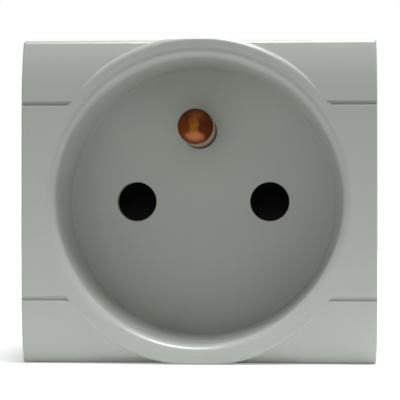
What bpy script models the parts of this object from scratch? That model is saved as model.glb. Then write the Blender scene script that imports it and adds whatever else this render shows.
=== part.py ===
"""French wall socket module, two poles and an earth pin, with a sprung safety shutter.

The module snaps into the window of a support frame from the front. Lengths are in
metres. +X is to the right, +Z is up and the face looks along -Y. The origin is on the
well's axis, in the plane where the face's shoulder meets the support frame.

The pieces, from front to back: a moulded front cover with the round well, the sliding
shutter with its spring, a retainer plate that closes the shutter's space and holds the
terminals down, two sprung contacts with steel clips, the earth pin with its bar, three
pillar terminals with their screws, and a rear housing held on by four screws.
"""

import math

import bmesh
import bpy
from mathutils import Vector

MM = 0.001
CLEARANCE = 0.3 * MM  # between pieces that touch or slide on each other
OVERLAP = 1.0 * MM  # how far cutters and joined shapes run past each other
ROUND_STEPS = 4  # facets of a small round edge or bend
DOME_STEPS = 5
SHARP_ANGLE = 35.0  # degrees, above which an edge is shaded sharp

# Body behind the shoulder, with the insets of what sits in it
BODY_WIDTH = 44.6 * MM
BODY_HEIGHT = 41.4 * MM
BODY_WALL = 1.5 * MM
SHOULDER_HEIGHT = 0.8 * MM  # how far the face stands past the body above and below
SCREW_INSET_X = 3.9 * MM  # from the body's sides to the housing screws
SCREW_INSET_Z = 4.1 * MM
BLOCK_INSET_X = 6.7 * MM  # from the body's sides to those of the rear block
BLOCK_INSET_Z = 1.3 * MM
TERMINAL_INSET = 2.9 * MM  # from the body's bottom to that of the terminals
SEAT_INSET = 3.2 * MM  # from the body's bottom to the spring's seat

# Face of the front cover
FACE_WIDTH = 47.0 * MM
FACE_HEIGHT = BODY_HEIGHT + 2 * SHOULDER_HEIGHT
FACE_PROUD = 9.5 * MM  # from the shoulder to the face
FACE_WALL = 2.6 * MM
EDGE_ROUND = 0.3 * MM
GROOVE_HEIGHT = 12.9 * MM  # above and below the axis, where the flat band ends
GROOVE_WIDTH = 0.7 * MM
GROOVE_DEPTH = 0.4 * MM
BAND_RADIUS = 29.0 * MM  # the bands beyond the grooves fall away on this radius
BAND_STEPS = 7
COLLAR_ROUND = 0.8 * MM
COLLAR_TRIM = 0.1 * MM  # the collar's flats stand this far inside the face's edge
COLLAR_ROOT = 0.3 * MM  # what is left of the face's wall behind the collar's disc

# Well
WELL_RADIUS = 19.0 * MM
WELL_DEPTH = 15.0 * MM
WELL_TAPER = 0.15 * MM  # how much narrower the wall is at the floor
WELL_WALL = 1.5 * MM
RIM_WIDTH = 2.9 * MM  # from the well's wall to the outside of the collar
COLLAR_RADIUS = WELL_RADIUS + RIM_WIDTH
MOUTH_ROUND = 1.0 * MM
MOUTH_SWEEP = 75.0  # degrees of the mouth's round edge, which ends just short of level
MOUTH_LIFT = 0.1 * MM  # how far the mouth's cutter rises past the face at the rim
FLOOR_ROUND = 1.2 * MM
FLOOR_THICKNESS = 2.0 * MM
WELL_SEGMENTS = 72

# Plug that the socket takes
POLE_SPACING = 19.0 * MM
PLUG_PIN_RADIUS = 2.4 * MM
PLUG_PIN_LENGTH = 19.0 * MM
PIN_HOLE_RADIUS = PLUG_PIN_RADIUS + CLEARANCE
HOLE_SEGMENTS = 32

# Catches that hold the module in the support frame
FRAME_GRIP = 2.3 * MM
CATCH_X = 12.6 * MM
CATCH_WIDTH = 4.0 * MM
CATCH_HEIGHT = 0.7 * MM
CATCH_LAND = 0.6 * MM
CATCH_RAMP = 3.4 * MM
TONGUE_LENGTH = 9.0 * MM
TONGUE_SLIT = 0.7 * MM

# Shutter
SHUTTER_THICKNESS = 4.5 * MM
SHUTTER_EDGE = 1.5 * MM  # between a ramp and the shutter's side
SHUTTER_SKIRT = 3.1 * MM  # below the ramps
SHUTTER_BRIDGE = 1.6 * MM  # above the windows
SHUTTER_TRAVEL = 5.6 * MM
NOTCH_SIDE = 1.7 * MM  # from the earth pin to the sides of the shutter's notch
NOTCH_DROP = 3.6 * MM  # from the earth pin down to the notch's edge
RAMP_LEAD = 0.2 * MM  # how far a ramp starts below the pin hole's edge
RAMP_BREAK = 1.3 * MM  # height above the axis where the ramp turns steeper
RAMP_BREAK_DEPTH = 3.5 * MM
RAMP_LIP = 0.5 * MM  # thickness left at the ramp's upper end
RAIL_WIDTH = 1.2 * MM
RAIL_RUN = 0.4 * MM  # how far the guide rails reach past the shutter's lowest place

# Shutter spring
SPRING_RADIUS = 1.6 * MM  # to the middle of the wire
SPRING_WIRE = 0.4 * MM
SPRING_END_PITCH = 0.52 * MM  # of the close turn at each end
SPRING_TURNS = 7.0
SPRING_TURN_STEPS = 14
SPRING_SEAT = BODY_HEIGHT / 2 - SEAT_INSET  # how far below the axis the seat is
SEAT_HALF_WIDTH = 3.0 * MM
PEG_EASE = 0.5 * MM  # between a peg and the wire round it
PEG_RADIUS = SPRING_RADIUS - SPRING_WIRE / 2 - PEG_EASE
PEG_LENGTH = 2.0 * MM
PEG_SIDES = 12

# Retainer plate
RETAINER_THICKNESS = 1.2 * MM
RETAINER_RIB_WIDTH = 4.4 * MM
RETAINER_RIB_DROP = 0.9 * MM  # from the contacts' lower edge to the ribs

# Earth pin and bar
EARTH_X = -0.5 * MM
EARTH_Z = 10.0 * MM
EARTH_PIN_RADIUS = 2.4 * MM
EARTH_PIN_LENGTH = 14.0 * MM  # in front of the well's floor
EARTH_PIN_DOME = 1.5 * MM
EARTH_FLANGE_LIP = 0.9 * MM
EARTH_FLANGE_THICKNESS = 1.0 * MM
EARTH_SPIGOT_RADIUS = 1.6 * MM
RIVET_LIP = 0.8 * MM
RIVET_TAPER = 0.5 * MM
RIVET_THICKNESS = 0.8 * MM
EARTH_BAR_WIDTH = 6.4 * MM
EARTH_BAR_THICKNESS = 1.0 * MM
EARTH_BAR_END = 4.0 * MM  # above the pin's axis
EARTH_BAR_NECK = 3.4 * MM  # from the bar's bend up to its full width

# Line contacts and their steel clips
CONTACT_THICKNESS = 0.8 * MM
CONTACT_HEIGHT = 7.0 * MM
JAW_GAP = 3.9 * MM
JAW_FLARE = 0.9 * MM
JAW_LIP = 2.4 * MM
JAW_BEND = 1.2 * MM
PIN_END_ROOM = 0.5 * MM
JAW_ROOM = 0.75 * MM  # beside the jaws, for them to open
CLIP_THICKNESS = 0.5 * MM
CLIP_HEIGHT = 4.0 * MM
CLIP_LEAF = 8.5 * MM
CLIP_BEND = 1.5 * MM

# Terminals
TERMINAL_WIDTH = 7.4 * MM
TERMINAL_DEPTH = 6.8 * MM
TERMINAL_HEIGHT = 7.6 * MM
TERMINAL_TOP = TERMINAL_INSET + TERMINAL_HEIGHT - BODY_HEIGHT / 2
TAIL_RISE = 1.6 * MM  # from the terminals' top to the bend of a contact's tail
EARTH_TAIL_RISE = 0.8 * MM
TERMINAL_CHAMFER = 0.4 * MM
BORE_WIDTH = 5.0 * MM
BORE_DEPTH = 3.6 * MM
BORE_FRONT_WALL = 1.2 * MM
CLAMP_SCREW_RADIUS = 1.7 * MM
CLAMP_HEAD_RADIUS = 2.8 * MM
CLAMP_HEAD_THICKNESS = 2.0 * MM
CLAMP_HEAD_CHAMFER = 0.4 * MM
CLAMP_POINT = 0.5 * MM  # chamfer at the screw's tip
CLAMP_SLOT_WIDTH = 0.9 * MM
CLAMP_SLOT_DEPTH = 0.9 * MM
CLAMP_TIP = 0.4 * MM  # how far the screw's tip stands into the wire bore
ACCESS_EASE = 0.4 * MM  # round the screw's head in its hole

# Rear housing
REAR_BLOCK_WIDTH = BODY_WIDTH - 2 * BLOCK_INSET_X
REAR_BLOCK_HEIGHT = BODY_HEIGHT - 2 * BLOCK_INSET_Z
REAR_WALL = 2.1 * MM
FLANGE_THICKNESS = 2.2 * MM
REAR_CHAMFER = 0.8 * MM
GUSSET_Z = 8.0 * MM
GUSSET_THICKNESS = 1.4 * MM
GUSSET_REACH = 4.6 * MM
GUSSET_DEPTH = 6.0 * MM
ENTRY_EASE = 0.1 * MM  # of a wire entry in front of and behind the terminal's bore

# Housing screws
SCREW_X = BODY_WIDTH / 2 - SCREW_INSET_X
SCREW_Z = BODY_HEIGHT / 2 - SCREW_INSET_Z
BOSS_WALL = 1.3 * MM
SCREW_RADIUS = 1.2 * MM
SCREW_LENGTH = 12.0 * MM
SCREW_HEAD_RADIUS = 2.2 * MM
SCREW_HEAD_THICKNESS = 1.6 * MM
SCREW_HEAD_CROWN = 0.8 * MM  # height of the head's round part
SCREW_HEAD_FLAT = 1.3 * MM  # radius of the head's flat top
CROSS_WIDTH = 0.6 * MM
CROSS_SPAN = 2.6 * MM
CROSS_DEPTH = 0.9 * MM
SCREW_SEGMENTS = 24

# Planes across the socket, from front to back
FACE_Y = -FACE_PROUD
FLOOR_Y = FACE_Y + WELL_DEPTH
FLOOR_BACK_Y = FLOOR_Y + FLOOR_THICKNESS
SHUTTER_Y = FLOOR_BACK_Y + CLEARANCE
SHUTTER_BACK_Y = SHUTTER_Y + SHUTTER_THICKNESS
RETAINER_Y = SHUTTER_BACK_Y + CLEARANCE
RETAINER_BACK_Y = RETAINER_Y + RETAINER_THICKNESS
REAR_Y = RETAINER_BACK_Y + CLEARANCE
FLANGE_BACK_Y = REAR_Y + FLANGE_THICKNESS
EARTH_BAR_Y = REAR_Y + EARTH_FLANGE_THICKNESS + CLEARANCE
CONTACT_BASE_Y = FLOOR_Y + PLUG_PIN_LENGTH + PIN_END_ROOM
CLIP_BASE_Y = CONTACT_BASE_Y + CONTACT_THICKNESS + CLEARANCE
CHAMBER_END_Y = CLIP_BASE_Y + CLIP_THICKNESS + CLEARANCE
REAR_BACK_Y = CHAMBER_END_Y + REAR_WALL
TERMINAL_BACK_Y = CONTACT_BASE_Y
TERMINAL_Y = TERMINAL_BACK_Y - TERMINAL_DEPTH
BORE_Y = TERMINAL_Y + BORE_FRONT_WALL
TAIL_Y = BORE_Y + CLEARANCE

# Places that several pieces share
POLE_X = POLE_SPACING / 2
RAMP_HALF_WIDTH = PIN_HOLE_RADIUS + CLEARANCE
RAMP_BOTTOM = -PIN_HOLE_RADIUS - RAMP_LEAD
RAMP_TOP = SHUTTER_TRAVEL - PIN_HOLE_RADIUS
WINDOW_TOP = SHUTTER_TRAVEL + PIN_HOLE_RADIUS + CLEARANCE
SHUTTER_HALF_WIDTH = POLE_X + RAMP_HALF_WIDTH + SHUTTER_EDGE
SHUTTER_BOTTOM = RAMP_BOTTOM - SHUTTER_SKIRT
SHUTTER_TOP = WINDOW_TOP + SHUTTER_BRIDGE
SHUTTER_NOTCH_HALF = abs(EARTH_X) + EARTH_PIN_RADIUS + NOTCH_SIDE
SHUTTER_NOTCH_BOTTOM = EARTH_Z - EARTH_PIN_RADIUS - NOTCH_DROP
RAIL_FOOT = SHUTTER_TRAVEL - SHUTTER_BOTTOM + RAIL_RUN
EARTH_FLANGE_RADIUS = EARTH_PIN_RADIUS + EARTH_FLANGE_LIP
RIVET_RADIUS = EARTH_SPIGOT_RADIUS + RIVET_LIP
CHAMBER_HALF_WIDTH = JAW_GAP / 2 + CONTACT_THICKNESS + JAW_FLARE + JAW_ROOM
TAIL_WIDTH = BORE_WIDTH - 2 * CLEARANCE
ACCESS_RADIUS = CLAMP_HEAD_RADIUS + ACCESS_EASE
WIRE_ENTRY_WIDTH = BORE_WIDTH + 2 * CLEARANCE
WIRE_ENTRY_DEPTH = BORE_DEPTH + 2 * ENTRY_EASE
BOSS_RADIUS = SCREW_RADIUS + CLEARANCE + BOSS_WALL
CAVITY_HALF_WIDTH = BODY_WIDTH / 2 - BODY_WALL
CAVITY_HALF_HEIGHT = BODY_HEIGHT / 2 - BODY_WALL
TERMINAL_BOTTOM = TERMINAL_TOP - TERMINAL_HEIGHT
TAIL_BEND_Z = TERMINAL_TOP + TAIL_RISE
EARTH_BEND_Z = TERMINAL_TOP + EARTH_TAIL_RISE
EARTH_BAR_TOP = EARTH_Z + EARTH_BAR_END
EARTH_BAR_BOTTOM = EARTH_BEND_Z + EARTH_BAR_NECK
TERMINAL_Z = (TERMINAL_TOP + TERMINAL_BOTTOM) / 2
SHUTTER_MIDDLE_Y = (SHUTTER_Y + SHUTTER_BACK_Y) / 2
CORNERS = [(x, z) for x in (-SCREW_X, SCREW_X) for z in (-SCREW_Z, SCREW_Z)]


def clear_scene():
    """Remove whatever the file holds."""
    for obj in list(bpy.data.objects):
        bpy.data.objects.remove(obj, do_unlink=True)


def make_material(name, color, roughness, metallic=0.0):
    """A Principled material of one colour."""
    material = bpy.data.materials.new(name)
    material.use_nodes = True
    shader = material.node_tree.nodes["Principled BSDF"]
    shader.inputs["Base Color"].default_value = (*color, 1.0)
    shader.inputs["Roughness"].default_value = roughness
    shader.inputs["Metallic"].default_value = metallic
    material.diffuse_color = (*color, 1.0)
    return material


def to_object(bm, name="tool"):
    """Turn a bmesh into an object of the scene, its faces pointing out."""
    bmesh.ops.recalc_face_normals(bm, faces=bm.faces)
    mesh = bpy.data.meshes.new(name)
    bm.to_mesh(mesh)
    bm.free()
    obj = bpy.data.objects.new(name, mesh)
    bpy.context.collection.objects.link(obj)
    return obj


def box(low, high):
    """A box between two corners."""
    bm = bmesh.new()
    bmesh.ops.create_cube(bm, size=1.0)
    low, high = Vector(low), Vector(high)
    bmesh.ops.scale(bm, vec=high - low, verts=bm.verts)
    bmesh.ops.translate(bm, vec=(low + high) / 2, verts=bm.verts)
    return to_object(bm)


def prism(outline, axis, low, high):
    """An outline pushed along an axis. Its points are (y, z), (x, z) or (x, y)."""
    bm = bmesh.new()
    places = {
        "X": lambda u, v: (low, u, v),
        "Y": lambda u, v: (u, low, v),
        "Z": lambda u, v: (u, v, low),
    }
    face = bm.faces.new([bm.verts.new(places[axis](u, v)) for u, v in outline])
    pushed = bmesh.ops.extrude_face_region(bm, geom=[face])["geom"]
    step = Vector([(high - low) * (axis == name) for name in "XYZ"])
    moved = [item for item in pushed if isinstance(item, bmesh.types.BMVert)]
    bmesh.ops.translate(bm, vec=step, verts=moved)
    return to_object(bm)


def turned(profile, segments, x=0.0, z=0.0):
    """A profile of (radius, y) points turned round an axis along Y.

    The profile starts and ends on the axis.
    """
    bm = bmesh.new()
    verts = [bm.verts.new((x + radius, y, z)) for radius, y in profile]
    edges = [bm.edges.new(pair) for pair in zip(verts, verts[1:])]
    bmesh.ops.spin(
        bm,
        geom=verts + edges,
        cent=(x, 0.0, z),
        axis=(0.0, 1.0, 0.0),
        angle=math.tau,
        steps=segments,
        use_merge=True,
    )
    bmesh.ops.remove_doubles(bm, verts=bm.verts, dist=0.001 * MM)
    return to_object(bm)


def cylinder(radius, low, high, x=0.0, z=0.0, segments=HOLE_SEGMENTS):
    """A round bar along Y."""
    return turned([(0.0, low), (radius, low), (radius, high), (0.0, high)], segments, x, z)


def arc(centre, radius, start, end, steps):
    """Points on an arc between two angles in degrees."""
    angles = [math.radians(start + (end - start) * i / steps) for i in range(steps + 1)]
    return [
        (centre[0] + radius * math.cos(angle), centre[1] + radius * math.sin(angle))
        for angle in angles
    ]


def bent_path(corners, radius):
    """The corners' line with a round bend in place of each inner corner."""
    points = [Vector(corner) for corner in corners]
    path = [points[0]]
    for before, corner, after in zip(points, points[1:], points[2:]):
        back = (before - corner).normalized()
        ahead = (after - corner).normalized()
        half = back.angle(ahead) / 2
        reach = radius / math.tan(half)
        middle = corner + (back + ahead).normalized() * radius / math.sin(half)
        start = corner + back * reach - middle
        turn = math.pi - 2 * half
        sign = 1.0 if back.x * ahead.y - back.y * ahead.x < 0 else -1.0
        for i in range(ROUND_STEPS + 1):
            angle = sign * turn * i / ROUND_STEPS
            c, s = math.cos(angle), math.sin(angle)
            path.append(middle + Vector((c * start.x - s * start.y, s * start.x + c * start.y)))
    path.append(points[-1])
    return path


def strip_outline(path, thickness):
    """The two sides of a bent strip, from the line through its middle."""
    left, right = [], []
    for i, point in enumerate(path):
        into = point - path[i - 1] if i else path[1] - point
        out = path[i + 1] - point if i + 1 < len(path) else into
        along = (into.normalized() + out.normalized()).normalized()
        side = Vector((-along.y, along.x)) * thickness / 2
        left.append(tuple(point + side))
        right.append(tuple(point - side))
    return left + right[::-1]


def combine(body, tool, operation):
    """Apply one Boolean with a tool, and remove the tool."""
    modifier = body.modifiers.new("shape", "BOOLEAN")
    modifier.object = tool
    modifier.operation = operation
    modifier.solver = "EXACT"
    graph = bpy.context.evaluated_depsgraph_get()
    result = bpy.data.meshes.new_from_object(body.evaluated_get(graph))
    body.modifiers.clear()
    body.data = result
    bpy.data.objects.remove(tool, do_unlink=True)


def join(body, *tools):
    """Add tools to a body."""
    for tool in tools:
        combine(body, tool, "UNION")


def cut(body, *tools):
    """Take tools away from a body."""
    for tool in tools:
        combine(body, tool, "DIFFERENCE")


def finish(obj, name, material, parent=None):
    """Name a piece, shade it and give it its material."""
    obj.name = name
    obj.data.name = name
    obj.data.materials.clear()
    obj.data.materials.append(material)
    obj.data.shade_smooth()
    obj.data.set_sharp_from_angle(angle=math.radians(SHARP_ANGLE))
    if parent is not None:
        obj.parent = parent
    return obj


def bevel_edges(obj, width, segments, chosen):
    """Round the edges of an object that a test picks."""
    bm = bmesh.new()
    bm.from_mesh(obj.data)
    bm.normal_update()
    bmesh.ops.bevel(
        bm,
        geom=[edge for edge in bm.edges if chosen(edge)],
        offset=width,
        segments=segments,
        profile=0.5,
        affect="EDGES",
        clamp_overlap=True,
        material=-1,
    )
    bm.to_mesh(obj.data)
    bm.free()


def face_block():
    """The block of the face: a flat band, and bands that fall away above and below."""
    half = FACE_HEIGHT / 2
    reach = math.degrees(math.asin((half - GROOVE_HEIGHT) / BAND_RADIUS))
    centre_y = FACE_Y + BAND_RADIUS
    upper = arc((centre_y, GROOVE_HEIGHT), BAND_RADIUS, 180 - reach, 180, BAND_STEPS)
    lower = arc((centre_y, -GROOVE_HEIGHT), BAND_RADIUS, 180, 180 + reach, BAND_STEPS)
    outline = [(0.0, half)] + upper + lower + [(0.0, -half)]
    block = prism(outline, "X", -FACE_WIDTH / 2, FACE_WIDTH / 2)

    def on_rim(edge):
        fronts = [face.normal.y < -0.5 for face in edge.link_faces]
        backs = [face.normal.y > 0.5 for face in edge.link_faces]
        along_depth = abs(edge.verts[0].co.y - edge.verts[1].co.y) > FACE_PROUD / 2
        return any(fronts) != all(fronts) or (along_depth and not any(backs))

    bevel_edges(block, EDGE_ROUND, 2, on_rim)
    return block


def groove_cutters():
    """Four grooves where the flat band ends, from the sides in to the collar."""
    half = GROOVE_WIDTH / 2
    inner = COLLAR_RADIUS / 2  # under the collar, which is joined afterwards
    outer = FACE_WIDTH / 2 + OVERLAP
    cutters = []
    for side in (-1, 1):
        for height in (-GROOVE_HEIGHT, GROOVE_HEIGHT):
            ends = sorted((side * inner, side * outer))
            low = (ends[0], FACE_Y - OVERLAP, height - half)
            high = (ends[1], FACE_Y + GROOVE_DEPTH, height + half)
            cutters.append(box(low, high))
    return cutters


def collar():
    """The round collar, level with the flat band, trimmed by the face's height."""
    round_centre = (COLLAR_RADIUS - COLLAR_ROUND, FACE_Y + COLLAR_ROUND)
    round_points = arc(round_centre, COLLAR_ROUND, -90, 0, ROUND_STEPS)
    back = FACE_Y + FACE_WALL - COLLAR_ROOT
    disc = turned([(0.0, FACE_Y)] + round_points + [(COLLAR_RADIUS, back), (0.0, back)], WELL_SEGMENTS)
    half = FACE_HEIGHT / 2 - COLLAR_TRIM
    trim = box(
        (-FACE_WIDTH / 2, FACE_Y - OVERLAP, -half),
        (FACE_WIDTH / 2, back + OVERLAP, half),
    )
    combine(disc, trim, "INTERSECT")
    return disc


def well_cutter():
    """The space of the well: round at the mouth, slightly tapered, round at the floor."""
    floor_radius = WELL_RADIUS - WELL_TAPER
    floor_centre = (floor_radius - FLOOR_ROUND, FLOOR_Y - FLOOR_ROUND)
    floor_round = arc(floor_centre, FLOOR_ROUND, 90, 0, ROUND_STEPS)
    mouth_centre = (WELL_RADIUS + MOUTH_ROUND, FACE_Y + MOUTH_ROUND)
    mouth_round = arc(mouth_centre, MOUTH_ROUND, 180, 180 + MOUTH_SWEEP, DOME_STEPS)
    rim = (WELL_RADIUS + MOUTH_ROUND, FACE_Y - MOUTH_LIFT)
    top = FACE_Y - OVERLAP
    profile = [(0.0, FLOOR_Y)] + floor_round + mouth_round + [rim, (rim[0], top), (0.0, top)]
    return turned(profile, WELL_SEGMENTS)


def guide_rails():
    """Two hooked rails behind the floor that guide the shutter and stop it at the top."""
    inner = SHUTTER_HALF_WIDTH + CLEARANCE
    outer = inner + RAIL_WIDTH
    stop = SHUTTER_TOP + CLEARANCE
    hook = POLE_X - RAMP_HALF_WIDTH
    rails = []
    for side in (-1, 1):
        outline = [
            (side * inner, -RAIL_FOOT),
            (side * outer, -RAIL_FOOT),
            (side * outer, stop + RAIL_WIDTH),
            (side * hook, stop + RAIL_WIDTH),
            (side * hook, stop),
            (side * inner, stop),
        ]
        rails.append(prism(outline, "Y", FLOOR_BACK_Y - FLOOR_THICKNESS / 2, SHUTTER_BACK_Y))
    return rails


def spring_seat():
    """The ledge under the spring, with the peg that centres it."""
    low = (-SEAT_HALF_WIDTH, FLOOR_BACK_Y - FLOOR_THICKNESS / 2, -CAVITY_HALF_HEIGHT - BODY_WALL / 2)
    seat = box(low, (SEAT_HALF_WIDTH, SHUTTER_BACK_Y, -SPRING_SEAT))
    join(seat, upright_peg(-SPRING_SEAT - OVERLAP, -SPRING_SEAT + PEG_LENGTH))
    return seat


def upright_peg(low, high):
    """A round peg along Z in the middle of the shutter's space."""
    outline = arc((0.0, SHUTTER_MIDDLE_Y), PEG_RADIUS, 0, 360, PEG_SIDES)[:-1]
    return prism(outline, "Z", low, high)


def catches():
    """Four wedges on the top and bottom walls, a little wider than their tongues."""
    half_width = CATCH_WIDTH / 2 + TONGUE_SLIT / 2
    wall = BODY_HEIGHT / 2
    crest = wall + CATCH_HEIGHT
    wedges = []
    for up in (-1, 1):
        outline = [
            (FRAME_GRIP, up * (wall - BODY_WALL / 2)),
            (FRAME_GRIP, up * crest),
            (FRAME_GRIP + CATCH_LAND, up * crest),
            (FRAME_GRIP + CATCH_LAND + CATCH_RAMP, up * (wall - BODY_WALL / 2)),
        ]
        for x in (-CATCH_X, CATCH_X):
            wedges.append(prism(outline, "X", x - half_width, x + half_width))
    return wedges


def tongue_slits():
    """U-shaped slits that free a springy tongue behind each catch."""
    inner = CATCH_WIDTH / 2
    outer = inner + TONGUE_SLIT
    front = FRAME_GRIP - 2 * TONGUE_SLIT
    back = front + TONGUE_LENGTH
    slits = []
    for x in (-CATCH_X, CATCH_X):
        outline = [
            (x - outer, front),
            (x + outer, front),
            (x + outer, back),
            (x + inner, back),
            (x + inner, front + TONGUE_SLIT),
            (x - inner, front + TONGUE_SLIT),
            (x - inner, back),
            (x - outer, back),
        ]
        low = CAVITY_HALF_HEIGHT - CLEARANCE
        high = BODY_HEIGHT / 2 + CATCH_HEIGHT + OVERLAP
        slits.append(prism(outline, "Z", low, high))
        slits.append(prism(outline, "Z", -high, -low))
    return slits


def make_front_cover(material):
    """The visible moulding, with the well, the collar and the walls behind the shoulder."""
    cover = face_block()
    cut(cover, *groove_cutters())
    half_width, half_height = BODY_WIDTH / 2, BODY_HEIGHT / 2
    join(cover, box((-half_width, -OVERLAP, -half_height), (half_width, RETAINER_BACK_Y, half_height)))
    cavity = box(
        (-CAVITY_HALF_WIDTH, FACE_Y + FACE_WALL, -CAVITY_HALF_HEIGHT),
        (CAVITY_HALF_WIDTH, RETAINER_BACK_Y + OVERLAP, CAVITY_HALF_HEIGHT),
    )
    cut(cover, cavity)
    tube = cylinder(
        WELL_RADIUS + WELL_WALL, FACE_Y + FACE_WALL / 2, FLOOR_BACK_Y, segments=WELL_SEGMENTS
    )
    join(cover, tube, collar())
    bosses = [
        cylinder(BOSS_RADIUS, FACE_Y + FACE_WALL / 2 + EDGE_ROUND, SHUTTER_BACK_Y, x, z, SCREW_SEGMENTS)
        for x, z in CORNERS
    ]
    join(cover, *bosses, *guide_rails(), spring_seat(), *catches())
    cut(cover, well_cutter())
    holes = [(PIN_HOLE_RADIUS, -POLE_X, 0.0), (PIN_HOLE_RADIUS, POLE_X, 0.0)]
    holes.append((EARTH_PIN_RADIUS + CLEARANCE, EARTH_X, EARTH_Z))
    for radius, x, z in holes:
        cut(cover, cylinder(radius, FLOOR_Y - OVERLAP, FLOOR_BACK_Y + OVERLAP, x, z))
    pilot_end = FLANGE_BACK_Y - SCREW_LENGTH
    for x, z in CORNERS:
        pilot = cylinder(
            SCREW_RADIUS + CLEARANCE, pilot_end, SHUTTER_BACK_Y + OVERLAP, x, z, SCREW_SEGMENTS
        )
        cut(cover, pilot)
    cut(cover, *tongue_slits())
    return finish(cover, "front_cover", material)


def ramp_cutter(x):
    """The space over a ramp that the plug's pin slides down, and the window above it."""
    front = SHUTTER_Y - OVERLAP
    back = SHUTTER_BACK_Y + OVERLAP
    break_y = SHUTTER_Y + RAMP_BREAK_DEPTH
    lip_y = SHUTTER_BACK_Y - RAMP_LIP
    slope = (RAMP_BREAK - RAMP_BOTTOM) / RAMP_BREAK_DEPTH
    outline = [
        (front, RAMP_BOTTOM - OVERLAP * slope),
        (break_y, RAMP_BREAK),
        (lip_y, RAMP_TOP),
        (back, RAMP_TOP),
        (back, WINDOW_TOP),
        (front, WINDOW_TOP),
    ]
    return prism(outline, "X", x - RAMP_HALF_WIDTH, x + RAMP_HALF_WIDTH)


def make_shutter(material):
    """The slide that covers both line holes, with its origin on its own middle."""
    outline = [
        (-SHUTTER_HALF_WIDTH, SHUTTER_BOTTOM),
        (SHUTTER_HALF_WIDTH, SHUTTER_BOTTOM),
        (SHUTTER_HALF_WIDTH, SHUTTER_TOP),
        (SHUTTER_NOTCH_HALF, SHUTTER_TOP),
        (SHUTTER_NOTCH_HALF, SHUTTER_NOTCH_BOTTOM),
        (-SHUTTER_NOTCH_HALF, SHUTTER_NOTCH_BOTTOM),
        (-SHUTTER_NOTCH_HALF, SHUTTER_TOP),
        (-SHUTTER_HALF_WIDTH, SHUTTER_TOP),
    ]
    slide = prism(outline, "Y", SHUTTER_Y, SHUTTER_BACK_Y)
    join(slide, upright_peg(SHUTTER_BOTTOM - PEG_LENGTH, SHUTTER_BOTTOM + OVERLAP))
    cut(slide, ramp_cutter(-POLE_X), ramp_cutter(POLE_X))
    axis = bpy.data.objects.new("shutter_travel_axis", None)
    axis.location = (0.0, SHUTTER_MIDDLE_Y, 0.0)
    bpy.context.collection.objects.link(axis)
    for vert in slide.data.vertices:
        vert.co.y -= SHUTTER_MIDDLE_Y
    return finish(slide, "shutter_slide", material, parent=axis)


def make_shutter_spring(material):
    """The coil spring between the seat and the shutter, with close turns at its ends."""
    low = -SPRING_SEAT + CLEARANCE + SPRING_WIRE / 2
    high = SHUTTER_BOTTOM - CLEARANCE - SPRING_WIRE / 2
    rise = (high - low - 2 * SPRING_END_PITCH) / (SPRING_TURNS - 2)
    count = round(SPRING_TURNS * SPRING_TURN_STEPS)
    curve = bpy.data.curves.new("shutter_spring", "CURVE")
    curve.dimensions = "3D"
    curve.bevel_depth = SPRING_WIRE / 2
    curve.bevel_resolution = 1
    curve.use_fill_caps = True
    spline = curve.splines.new("POLY")
    spline.points.add(count)
    for i, point in enumerate(spline.points):
        turn = SPRING_TURNS * i / count
        middle = min(max(turn - 1.0, 0.0), SPRING_TURNS - 2)
        ends = min(turn, 1.0) + max(turn - SPRING_TURNS + 1.0, 0.0)
        x = SPRING_RADIUS * math.cos(math.tau * turn)
        y = SHUTTER_MIDDLE_Y + SPRING_RADIUS * math.sin(math.tau * turn)
        point.co = (x, y, low + ends * SPRING_END_PITCH + middle * rise, 1.0)
    spring = bpy.data.objects.new("shutter_spring", curve)
    bpy.context.collection.objects.link(spring)
    curve.materials.append(material)
    return spring


def make_shutter_retainer(material):
    """The plate behind the shutter, with ribs that hold the terminals in their pockets."""
    half_width = CAVITY_HALF_WIDTH - CLEARANCE
    half_height = CAVITY_HALF_HEIGHT - CLEARANCE
    plate = box((-half_width, RETAINER_Y, -half_height), (half_width, RETAINER_BACK_Y, half_height))
    rib_end = TERMINAL_Y - CLEARANCE
    rib_top = -CONTACT_HEIGHT / 2 - RETAINER_RIB_DROP
    earth_rib_top = EARTH_BEND_Z - EARTH_BAR_THICKNESS / 2 - CLEARANCE
    for x, top in ((-POLE_X, rib_top), (0.0, earth_rib_top), (POLE_X, rib_top)):
        rib_half = RETAINER_RIB_WIDTH / 2
        low = (x - rib_half, RETAINER_BACK_Y - RETAINER_THICKNESS / 2, TERMINAL_BOTTOM)
        join(plate, box(low, (x + rib_half, rib_end, top)))
    holes = [(PIN_HOLE_RADIUS, -POLE_X, 0.0), (PIN_HOLE_RADIUS, POLE_X, 0.0)]
    holes.append((EARTH_PIN_RADIUS + CLEARANCE, EARTH_X, EARTH_Z))
    holes += [(SCREW_RADIUS + CLEARANCE, x, z) for x, z in CORNERS]
    for radius, x, z in holes:
        cut(plate, cylinder(radius, RETAINER_Y - OVERLAP, RETAINER_BACK_Y + OVERLAP, x, z, SCREW_SEGMENTS))
    return finish(plate, "shutter_retainer", material)


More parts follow.
